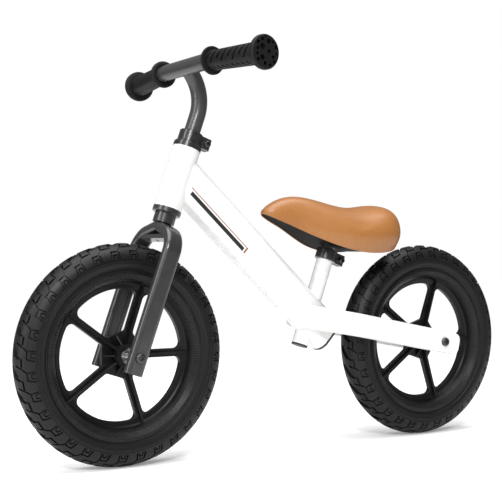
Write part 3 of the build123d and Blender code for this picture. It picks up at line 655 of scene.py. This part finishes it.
def cut_line(obj, point, normal, test=lambda face: True):
    """Cuts the chosen faces along one plane."""
    if pick(obj, "faces", test):
        bpy.ops.mesh.bisect(plane_co=point, plane_no=normal)


def cut_grid(obj, columns, rows):
    """Cuts the whole tile along lines of constant X and constant Z."""
    for x in columns:
        cut_line(obj, (x, 0, 0), (1, 0, 0))
    for z in rows:
        cut_line(obj, (0, 0, z), (0, 0, 1))


class Groove:
    """A straight groove on a flat tile, from start to end in (X, Z), with rounded-off length."""

    def __init__(self, start, end, width):
        self.start = Vector((start[0], 0, start[1]))
        self.end = Vector((end[0], 0, end[1]))
        self.half = width / 2
        self.along = (self.end - self.start).normalized()
        self.across = Vector((-self.along.z, 0, self.along.x))
        self.middle = (self.start + self.end) / 2
        self.reach = (self.end - self.start).length / 2 + self.half

    def holds(self, point, margin=0.0):
        """True if a point lies in the groove, or within a margin of it."""
        offset = point - self.middle
        return (abs(offset.dot(self.along)) <= self.reach + margin
                and abs(offset.dot(self.across)) <= self.half + margin)

    def outline(self, obj, margin):
        """Cuts the groove's four sides into the faces near it."""
        sides = (
            (self.start - self.along * self.half, self.along),
            (self.end + self.along * self.half, self.along),
            (self.middle - self.across * self.half, self.across),
            (self.middle + self.across * self.half, self.across),
        )
        for point, normal in sides:
            cut_line(obj, point, normal,
                     lambda face: self.holds(face.calc_center_bounds(), margin))


def sink_grooves(obj, grooves, depth, margin):
    """Outlines the grooves on a tile in edit mode, and pushes their faces in along +Y."""
    for groove in grooves:
        groove.outline(obj, margin)
    tiny = 0.02 * mm
    found = pick(obj, "faces", lambda face: any(
        groove.holds(face.calc_center_median(), tiny) for groove in grooves))
    bpy.ops.mesh.extrude_region_move(TRANSFORM_OT_translate={"value": (0, depth, 0)})
    return found


# %% [markdown]
# Every size of the tread follows from the fixed tyre: its radius gives the length of one pitch,
# and the width of its section gives the width of the tile.

# %% Sizes of the tyre
tyre_low, tyre_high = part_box("front_tyre")
wheel_centre = (tyre_low + tyre_high) / 2
tyre_radius = (tyre_high.z - tyre_low.z) / 2
section_radius = (tyre_high.y - tyre_low.y) / 2
pitch_count = 32
pitch = 2 * math.pi * tyre_radius / pitch_count
section_length = 2 * math.pi * section_radius
groove_depth = 2.7 * mm
print("one pitch of tread is", round(pitch / mm, 2), "mm long")

# %% [markdown]
# The grooves of one pitch are listed for the left side as straight pieces. Each has a start, an
# end and a width in mm, as (along the wheel, away from the crown). The right side is the same
# pattern turned by half a turn, so it comes from the same list.

# %% Plan of the grooves
groove_plan = [
    ((14.5, 0.0), (18.8, 3.8), 9.5), ((20.2, 5.0), (24.4, 8.8), 4.2),
    ((25.2, 9.6), (26.2, 15.0), 2.4), ((26.2, 15.5), (38.4, 15.5), 2.6),
    ((35.6, 7.0), (39.0, 14.5), 2.2), ((39.4, 15.6), (44.2, 21.6), 2.2),
    ((44.6, 23.0), (44.0, 31.5), 2.4), ((45.6, 22.6), (54.6, 22.6), 1.9),
    ((55.4, 23.6), (57.6, 31.5), 2.6),
    ((46.9, 32.0), (47.4, 28.6), 1.8), ((48.2, 28.0), (51.8, 28.0), 1.8),
    ((52.8, 28.6), (53.6, 32.0), 1.8),
]
tread_grooves = []
for shift in (-1, 0, 1, 2, 3, 4):
    for start, end, width in groove_plan:
        ends = [((shift * pitch - u * mm), -v * mm) for u, v in (start, end)]
        turned = [(pitch - u, -v) for u, v in ends]
        for near, far in (ends, turned):
            if -1.6 * pitch < near[0] < 2.6 * pitch:
                tread_grooves.append(Groove(near, far, width * mm))

# %% [markdown]
# The side wall steps in and out in rings. A ring is a line of constant Z on the tile, so the
# rings are cut into the grid together with the rows that let it bend. Three pitches are cut, so
# that the grooves run over the joints, and the middle one is kept.

# %% Cut the tile
# Distance from the crown along the section, and how far the wall lies below the round, in mm.
wall_steps = [(33.9, 0.0), (34.7, 1.3), (36.2, 1.3), (36.8, 0.5), (38.2, 0.5), (38.8, 1.5),
              (40.4, 1.5), (41.0, 0.8), (46.0, 0.7), (47.0, 1.4), (50.0, 1.4), (51.0, 0.4)]
row_step, hidden_rows = 3.3 * mm, (60, 68)       # the hidden rows lie inside the rim
columns = [pitch * k / 6 for k in range(-5, 12)]
rows = [row_step * k for k in range(-16, 17)]
rows += [side * far * mm for far in hidden_rows for side in (-1, 1)]
rows += [side * distance * mm for distance, drop in wall_steps for side in (-1, 1)]
groove_margin = 3.4 * mm                         # cuts reach this far round a groove
crown_half, crown_extra = 6.5 * mm, 0.7 * mm     # the crown is cut deepest
hair = 0.01 * mm                                 # a distance that counts as none

tyre = flat_tile("front_tyre_treaded", 3 * pitch, section_length)
tyre.location = (-pitch, 0, 0)
apply_place(tyre)
begin_edit(tyre)
cut_grid(tyre, columns, rows)
sunk = sink_grooves(tyre, tread_grooves, groove_depth, groove_margin)
pick(tyre, "faces", lambda face: face.calc_center_median().y > groove_depth - hair
     and abs(face.calc_center_median().z) < crown_half)
bpy.ops.transform.translate(value=(0, crown_extra, 0))
pick(tyre, "faces", lambda face: not 0 < face.calc_center_median().x < pitch)
bpy.ops.mesh.delete(type="FACE")
print("grooves cut:", len(tread_grooves), "faces pushed in:", sunk)

# %% [markdown]
# The tile's corners are moved down ring by ring, and a ring is found by its distance from the
# crown. Proportional editing would round the steps off, and a profile swept round the wheel would
# leave no place for the tread.

# %% Side wall steps


def wall_drop(distance):
    """How far the side wall lies below the full round, by distance from the crown."""
    known = [(0.0, 0.0)] + wall_steps + [(1000 * section_length, 0.4)]
    for (near, near_drop), (far, far_drop) in zip(known, known[1:]):
        if near <= distance <= far:
            share = (distance - near) / (far - near)
            return near_drop + share * (far_drop - near_drop)
    return 0.0


levels = sorted({round(abs(vert.co.z) / mm, 2)
                 for vert in bmesh.from_edit_mesh(tyre.data).verts})
for level in levels:
    drop = wall_drop(level) * mm
    if drop:
        pick(tyre, "verts", lambda vert: abs(abs(vert.co.z) / mm - level) < 0.006
             and abs(vert.co.y) < hair)
        bpy.ops.transform.translate(value=(0, drop, 0))
end_edit()

# %% [markdown]
# The tile is repeated round the wheel, and the copies are merged at their joints. The first bend
# closes the width of the strip into a tube, and the second closes its length into a ring. A curve
# could bend it too, but Simple Deform needs no second object and closes exactly at a full turn.

# %% Round the wheel and bend
use_modifier(tyre, "ARRAY", count=pitch_count, use_relative_offset=False, use_constant_offset=True,
             constant_offset_displace=(pitch, 0, 0), use_merge_vertices=True,
             merge_threshold=hair)
use_modifier(tyre, "SIMPLE_DEFORM", deform_method="BEND", deform_axis="X", angle=2 * math.pi)
use_modifier(tyre, "SIMPLE_DEFORM", deform_method="BEND", deform_axis="Z", angle=2 * math.pi)
clean_shell(tyre)
tyre.location = (0, -tyre_radius, 0)
apply_place(tyre)
tyre.rotation_euler = (math.pi / 2, 0, 0)
tyre.location = wheel_centre
apply_place(tyre)
smooth_by_angle(tyre, 32)
tyre.data.materials.append(tyre_black)
print("tyre spans", [round(d, 4) for d in tyre.dimensions])

# %% [markdown]
# Both tyres come from one mould, so the rear one is a copy with its own mesh, moved to its own
# hub.

# %% The rear tyre is a copy
rear_low, rear_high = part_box("rear_tyre")
only(tyre)
bpy.ops.object.duplicate()
rear_tyre = bpy.context.object
rear_tyre.location = (rear_low + rear_high) / 2 - wheel_centre
apply_place(rear_tyre)
finish_piece(tyre, "front_tyre_treaded", "front_wheel", ["front_tyre"])
finish_piece(rear_tyre, "rear_tyre_treaded", "rear_wheel", ["rear_tyre"])

# %% [markdown]
# ## Grips
# A grip is turned and cut like the tyre. A flat tile gets its grooves and is bent into a sleeve.
# The open ends are then extruded into the inner flange and the thick outer disc, and round pits
# of many sizes are cut into the face of the disc.

# %% Sizes and grooves of a grip
sleeve_start, sleeve_end = 4.5 * mm, 104.0 * mm
sleeve_radius = 13.34 * mm
sleeve_round = 2 * math.pi * sleeve_radius
bar_hole = 11.2 * mm
flange_radius, disc_radius, disc_depth = 18.9 * mm, 22.1 * mm, 7.0 * mm
grip_groove_depth, grip_groove_margin = 2.0 * mm, 2.4 * mm
sleeve_columns, sleeve_row = 40, 6.2 * mm
sleeve_taper = 0.105                             # thicker towards the outer end

grip_grooves = []
for level in (15, 38, 61, 84):                   # long curved grooves on the upper half
    points = [(3.5 + 5.8 * k, level + 6 * (1 - ((k - 3) / 3) ** 2)) for k in range(7)]
    grip_grooves += [(a, b, 2.7) for a, b in zip(points, points[1:])]
for level in (9, 32, 55, 78):                    # slashes between them
    grip_grooves += [((7, level - 3), (16, level + 2.5), 2.8),
                     ((24, level + 2.5), (33, level - 3), 2.8)]
for step in range(9):                            # short slashes on the lower half
    level = 9 + 10 * step
    grip_grooves += [((45, level - 3.5), (53.5, level + 3.5), 2.4),
                     ((58, level + 1.5), (66.5, level - 5.5), 2.0),
                     ((71, level - 3.5), (79.5, level + 3.5), 2.4)]
grip_grooves = [Groove((u * mm, v * mm), (p * mm, q * mm), width * mm)
                for (u, v), (p, q), width in grip_grooves]
print("grip grooves planned:", len(grip_grooves))

# %% [markdown]
# The sleeve's tile is cut, sunk and bent upright at the origin, where Z runs along the bar. It is
# placed only when it is finished, because a pattern is easier to measure on an upright piece.

# %% Cut and bend the sleeve
grip = flat_tile("grip", sleeve_round, sleeve_end - sleeve_start)
grip.location = (0, 0, (sleeve_start + sleeve_end) / 2)
apply_place(grip)
begin_edit(grip)
cut_grid(grip, [sleeve_round * k / sleeve_columns for k in range(1, sleeve_columns)],
         [sleeve_start + sleeve_row * k for k in range(1, 16)])
sunk = sink_grooves(grip, grip_grooves, grip_groove_depth, grip_groove_margin)
end_edit()
use_modifier(grip, "SIMPLE_DEFORM", deform_method="BEND", deform_axis="Z", angle=2 * math.pi)
grip.location = (0, -sleeve_radius, 0)
apply_place(grip)
clean_shell(grip)
use_modifier(grip, "SIMPLE_DEFORM", deform_method="TAPER", deform_axis="Z", factor=sleeve_taper)
print("grip faces pushed in:", sunk)

# %% [markdown]
# The inner end carries a thin flange that stops the hand, and the outer end a thick disc that
# protects it in a fall. Both are round, so the open edges are extruded and scaled in steps, like
# a profile turned on a lathe. The spin operator could make them, but they would not join the
# sleeve.

# %% Flange and disc


def turn_out(obj, level, steps):
    """Extrudes the open edge at a height in steps of (new radius, move along the axis)."""
    pick(obj, "edges", lambda edge: edge.is_boundary
         and all(abs(vert.co.z - level) < 0.05 * mm for vert in edge.verts))
    chosen = [vert for vert in bmesh.from_edit_mesh(obj.data).verts if vert.select]
    radius = sum(math.hypot(vert.co.x, vert.co.y) for vert in chosen) / len(chosen)
    for new_radius, move in steps:
        bpy.ops.mesh.extrude_edges_move(TRANSFORM_OT_translate={"value": (0, 0, move)})
        bpy.ops.transform.resize(value=(new_radius / radius, new_radius / radius, 1),
                                 center_override=(0, 0, 0))
        radius = new_radius


begin_edit(grip, "EDGE")
turn_out(grip, sleeve_start, [
    (16.8 * mm, -0.2 * mm), (18.6 * mm, -0.4 * mm), (flange_radius, -0.7 * mm),
    (flange_radius, -1.8 * mm), (18.5 * mm, -0.8 * mm), (17.6 * mm, -0.6 * mm),
    (12.0 * mm, 0.0), (bar_hole, 0.5 * mm), (bar_hole, 96 * mm)])
turn_out(grip, sleeve_end, [
    (20.6 * mm, 0.2 * mm), (21.7 * mm, 0.5 * mm), (disc_radius, 1.1 * mm),
    (disc_radius, 3.4 * mm), (21.7 * mm, 1.0 * mm), (20.8 * mm, 0.7 * mm),
    (19.9 * mm, 0.1 * mm), (14.0 * mm, 0.0), (7.0 * mm, 0.0), (2.0 * mm, 0.0)])
bpy.ops.mesh.edge_face_add()
pick(grip, "edges", lambda edge: edge.is_boundary)
bpy.ops.mesh.edge_face_add()
end_edit()
clean_shell(grip)
print("grip is", round(grip.dimensions.z / mm, 1), "mm long")

# %% [markdown]
# Round pits of many sizes are cut into the face of the disc. Each is a short cylinder, and all of
# them are joined and taken away in one Boolean, which is quicker than one for each. The pattern
# is listed as seen from the side of the bike, so it is turned by the lean of the grip.

# %% Pits in the disc
pits = [(-6.0, 6.2, 3.3), (5.1, 1.2, 2.1), (-5.4, -7.4, 2.9), (-6.0, 15.3, 2.2), (4.1, 13.4, 2.8),
        (11.0, 13.0, 1.6), (-12.6, 11.0, 2.0), (-13.3, 3.6, 1.7), (16.2, 7.2, 2.2),
        (12.0, -5.6, 2.1), (17.4, -1.2, 1.4), (13.8, -11.0, 1.8), (-13.6, -3.2, 1.7),
        (-12.0, -10.4, 2.1), (-0.8, -14.2, 2.2), (7.0, -15.8, 1.8), (-1.0, 19.2, 1.2)]
pit_growth, pit_cutter_depth = 1.2, 8 * mm
lean_forward, lean_up = 0.6, 0.8                 # direction of the grip's upper side
face_height = sleeve_end + disc_depth
bpy.ops.object.select_all(action="DESELECT")
cutters = []
for right, above, radius in pits:
    across = lean_up * above - lean_forward * right
    upward = -lean_up * right - lean_forward * above
    bpy.ops.mesh.primitive_cylinder_add(vertices=20, radius=radius * pit_growth * mm,
                                        depth=pit_cutter_depth,
                                        location=(across * mm, upward * mm, face_height))
    cutters.append(bpy.context.object)
for cutter in cutters:
    cutter.select_set(True)
bpy.ops.object.join()
cutter = bpy.context.object
apply_place(cutter)
use_modifier(grip, "BOOLEAN", object=cutter, operation="DIFFERENCE", solver="EXACT")
bpy.data.objects.remove(cutter)
clean_shell(grip)
smooth_by_angle(grip, 34)
grip.data.materials.clear()
grip.data.materials.append(grip_black)
print("pits cut:", len(pits))

# %% [markdown]
# The bar bends back and down on each side, and each grip sits on its straight end. Three
# directions make its turn: outward along the bar, the grip's upper side, and the one across both.
# The right grip is turned and not mirrored, so its faces still point outwards.

# %% Place both grips on the bar
bar_middle = Vector((0.163, 0, 0.5355))
grip_bend, grip_reach = 55 * mm, 12 * mm       # the bar bends here; the grip starts this far past
sweep, bar_drop = math.radians(7.5), math.atan(0.23)     # back, and down with it
for side, name in ((1, "left"), (-1, "right")):
    outward = Vector((-math.sin(sweep) * math.cos(bar_drop), side * math.cos(sweep),
                      -math.sin(sweep) * math.sin(bar_drop))).normalized()
    upper = Vector((lean_forward, 0, lean_up))
    upper = (upper - outward * upper.dot(outward)).normalized()
    turn = Matrix((upper, outward.cross(upper), outward)).transposed().to_4x4()
    start = bar_middle + Vector((0, side * grip_bend, 0)) + outward * grip_reach
    only(grip)
    bpy.ops.object.duplicate()
    piece = bpy.context.object
    piece.matrix_world = Matrix.Translation(start) @ turn
    apply_place(piece)
    finish_piece(piece, "grip_" + name + "_moulded", "handlebar", ["grip_" + name])
bpy.data.objects.remove(grip)

# %% [markdown]
# ## Saddle
# The cover is pulled tight over foam, with a crisp lower edge and no seam in sight. A ring of
# points is extruded from nose to tail, and each ring is given its width and height. A short cloth
# run with a little air pressure then fills the cover out, while its lower edge is held.

# %% Saddle stations, from nose to tail
saddle_stations = [            # x, half width, top, lower edge, tuck-under of the lower edge; in mm
    (38.0, 3.5, 341.0, 338.5, 0.00), (34.5, 9.0, 345.0, 336.5, 0.00),
    (27.0, 14.2, 351.5, 333.0, 0.01), (13.0, 18.6, 360.0, 327.0, 0.02),
    (-5.0, 22.5, 365.0, 319.8, 0.03), (-22.0, 28.5, 365.5, 312.0, 0.05),
    (-40.0, 36.5, 362.5, 304.0, 0.07), (-60.0, 46.0, 357.0, 296.0, 0.09),
    (-80.0, 54.0, 352.0, 289.5, 0.12), (-105.0, 60.5, 349.0, 284.0, 0.15),
    (-130.0, 64.5, 351.0, 282.5, 0.18), (-152.0, 65.0, 355.5, 284.0, 0.21),
    (-168.0, 60.0, 355.5, 287.0, 0.24), (-179.0, 50.0, 349.0, 291.0, 0.28),
    (-186.0, 36.0, 338.0, 298.0, 0.32),
]
profile = [(0.0, 0.0), (0.5, 0.0), (1.0, 0.0), (1.0, 0.17), (1.0, 0.36), (0.95, 0.60),
           (0.80, 0.80), (0.52, 0.94), (0.0, 1.0)]       # share of half width, share of height

# %% [markdown]
# The loft starts as one ring of points that is extruded along X, one step for each station. Every
# level of every ring is then scaled to its width and moved to its place. A finished ring is
# parked far behind, so that the next pick can't find it.

# %% Loft the cover
ring_points = 2 * (len(profile) - 1)
bpy.ops.mesh.primitive_circle_add(vertices=ring_points, radius=1.0, fill_type="NGON",
                                  rotation=(0, math.pi / 2, 0))
cover = bpy.context.object
cover.name = "saddle_cover"
apply_place(cover)
ring_angle = 2 * math.pi / ring_points
tuck_share = {2: 1.0, 3: 0.35}                   # how much of the tuck each low level takes
parked = 10
begin_edit(cover)
pick(cover, "faces", lambda face: True)
for step in range(1, len(saddle_stations)):
    bpy.ops.mesh.extrude_region_move(TRANSFORM_OT_translate={"value": (1.0, 0, 0)})
bpy.ops.mesh.select_mode(type="VERT")
print("rings:", len({round(v.co.x) for v in bmesh.from_edit_mesh(cover.data).verts}))

for index, (x, half_width, top, edge, tuck) in enumerate(saddle_stations):
    for level, (wide, high) in enumerate(profile):
        angle = ring_angle * level                     # from straight down, both ways round
        y, z = math.sin(angle), -math.cos(angle)
        if level in tuck_share:
            wide -= tuck * tuck_share[level]
        if level == 1:
            wide = 0.5 * (1 - tuck)
        pick(cover, "verts", lambda vert: abs(vert.co.x - index) < 0.01
             and abs(vert.co.z - z) < 0.01)
        if y > 0.001:
            bpy.ops.transform.resize(value=(1, wide * half_width * mm / y, 1),
                                     center_override=(0, 0, 0))
        bpy.ops.transform.translate(
            value=(x * mm - index - parked, 0, (edge + high * (top - edge)) * mm - z))
pick(cover, "verts", lambda vert: True)
bpy.ops.transform.translate(value=(parked, 0, 0))

# %% [markdown]
# The real cover is pulled over the edge of a plastic tray. Subdivision rounds every edge, so the
# lower one is creased to stay crisp. The faces under it are copied off for the tray, and are then
# turned up into the cover by a small inset and an extrusion, as the material is folded in.

# %% Hold the lower edge crisp
lower = [Vector((x, 0, edge)) * mm for x, half_width, top, edge, tuck in saddle_stations]
lower_crease, hem_width, hem_height = 0.85, 1.2 * mm, 6 * mm


def edge_height(x):
    """Height of the cover's lower edge at x."""
    for fore, aft in zip(lower, lower[1:]):
        if aft.x <= x <= fore.x:
            share = (fore.x - x) / (fore.x - aft.x)
            return fore.z + share * (aft.z - fore.z)
    return lower[0].z if x > lower[0].x else lower[-1].z


def on_edge_plane(vert):
    """True if a corner lies level with the lower edge."""
    return abs(vert.co.z - edge_height(vert.co.x)) < 0.05 * mm


def is_lower_face(face):
    """True for the four-sided faces that close the cover from below."""
    return len(face.verts) == 4 and all(on_edge_plane(vert) for vert in face.verts)


bpy.ops.mesh.select_mode(type="EDGE")
pick(cover, "edges", lambda edge: all(on_edge_plane(vert) for vert in edge.verts)
     and any(abs(face.normal.z) < 0.8 for face in edge.link_faces)
     and any(all(on_edge_plane(vert) for vert in face.verts) for face in edge.link_faces))
bpy.ops.transform.edge_crease(value=lower_crease)
bpy.ops.mesh.select_mode(type="FACE")
pick(cover, "faces", is_lower_face)
bpy.ops.mesh.duplicate()
bpy.ops.mesh.separate(type="SELECTED")
tray = [obj for obj in bpy.context.selected_objects if obj is not cover][0]
pick(cover, "faces", is_lower_face)
bpy.ops.mesh.inset(thickness=hem_width, depth=0)
bpy.ops.mesh.extrude_region_move(TRANSFORM_OT_translate={"value": (0, 0, hem_height)})
end_edit()
clean_shell(cover)
use_modifier(cover, "SUBSURF", levels=2, render_levels=2)
print("faces copied for the tray:", len(tray.data.polygons))

# %% [markdown]
# The cloth run works on the cover itself. Points near the lower edge are pinned, and every other
# point may move two millimetres at most, so the foam looks full and the outline stays true.

# %% Fill the cover with air
puff_limit, pinned_band = 2.0 * mm, 7 * mm
air_pressure, air_frames = 4.0, 20
pinned = cover.vertex_groups.new(name="pinned")
for vert in cover.data.vertices:
    if vert.co.z < edge_height(vert.co.x) + pinned_band:
        pinned.add([vert.index], 1.0, "REPLACE")
before = np.array([vert.co for vert in cover.data.vertices])
cloth = cover.modifiers.new("cloth", "CLOTH")
cloth.settings.use_pressure = True
cloth.settings.uniform_pressure_force = air_pressure
cloth.settings.vertex_group_mass = "pinned"
cloth.settings.effector_weights.gravity = 0.0
cloth.point_cache.frame_start, cloth.point_cache.frame_end = 1, air_frames
for frame_number in range(1, air_frames + 1):
    bpy.context.scene.frame_set(frame_number)
only(cover)
bpy.ops.object.modifier_apply(modifier=cloth.name)
bpy.context.scene.frame_set(1)
after = np.array([vert.co for vert in cover.data.vertices])
shift = after - before
length = np.linalg.norm(shift, axis=1)
print("air moved the cover by up to", round(float(length.max()) * 1000, 2), "mm before the cap")
factor = np.minimum(1.0, puff_limit / np.maximum(length, 1e-9))
capped = before + shift * factor[:, None]
cover.data.vertices.foreach_set("co", capped.ravel())
cover.data.update()
cover.vertex_groups.clear()
use_modifier(cover, "SUBSURF", levels=1, render_levels=1)
print("cover spans", [round(v, 4) for v in cover.dimensions])
cover.data.materials.clear()
cover.data.materials.append(saddle_tan)
smooth_by_angle(cover, 50)
finish_piece(cover, "saddle_cover", "seat", ["saddle_pad"])

# %% [markdown]
# Under the cover sits a black moulded tray. It is the copy of the cover's lower faces, set in a
# little from the edge, lifted into the cover, smoothed, and given a thickness by an extrusion.
# Solidify could give the thickness, but its walls would lean out at the slanted edge.

# %% Moulded tray under the cover
tray_gap, tray_lift, tray_thickness = 1.5 * mm, 4.6 * mm, 3 * mm
begin_edit(tray)
pick(tray, "faces", lambda face: True)
bpy.ops.transform.edge_crease(value=-1)
bpy.ops.mesh.inset(thickness=tray_gap, depth=0)
bpy.ops.mesh.select_all(action="INVERT")
bpy.ops.mesh.delete(type="FACE")
pick(tray, "faces", lambda face: True)
bpy.ops.transform.translate(value=(0, 0, tray_lift))
end_edit()
use_modifier(tray, "SUBSURF", levels=2, render_levels=2)
begin_edit(tray)
bpy.ops.mesh.select_all(action="SELECT")
bpy.ops.mesh.extrude_region_move(TRANSFORM_OT_translate={"value": (0, 0, -tray_thickness)})
end_edit()
print("tray spans", [round(v, 4) for v in tray.dimensions])

# %% [markdown]
# A short round socket hangs below the tray and takes the top of the post. It is extruded from a
# ring, like the ends of the grip, then turned to the slope of the post and joined to the tray.
# Its lower end has a recess for the post, and its closed top is hidden in the tray.

# %% Socket for the post
seat_slope = math.radians(70.1)
post_axis = Vector((-math.cos(seat_slope), 0, math.sin(seat_slope)))
post_foot = Vector((-0.029, 0, 0.1492))
socket_top, socket_radius = 166 * mm, 14.5 * mm  # the top is measured along the post from its foot
socket_steps = ((1.0, -12), (0.93, -1), (0.86, 0), (0.955, 0.5), (1.0, 12.5))  # growth, move in mm

bpy.ops.mesh.primitive_circle_add(vertices=48, radius=socket_radius, fill_type="NOTHING")
socket = bpy.context.object
begin_edit(socket, "EDGE")
bpy.ops.mesh.select_all(action="SELECT")
for growth, move in socket_steps:
    bpy.ops.mesh.extrude_edges_move(TRANSFORM_OT_translate={"value": (0, 0, move * mm)})
    bpy.ops.transform.resize(value=(growth, growth, 1), center_override=(0, 0, 0))
bpy.ops.mesh.edge_face_add()
pick(socket, "edges", lambda edge: edge.is_boundary)
bpy.ops.mesh.edge_face_add()
end_edit()
socket.location = post_foot + post_axis * socket_top
socket.rotation_euler = post_axis.to_track_quat("Z", "Y").to_euler()
apply_place(socket)
clean_shell(socket)
only(tray)
socket.select_set(True)
bpy.ops.object.join()
clean_shell(tray)
tray.data.materials.clear()
tray.data.materials.append(base_black)
for polygon in tray.data.polygons:
    polygon.material_index = 0
smooth_by_angle(tray, 40)
finish_piece(tray, "saddle_tray", "seat", ["saddle_base"])
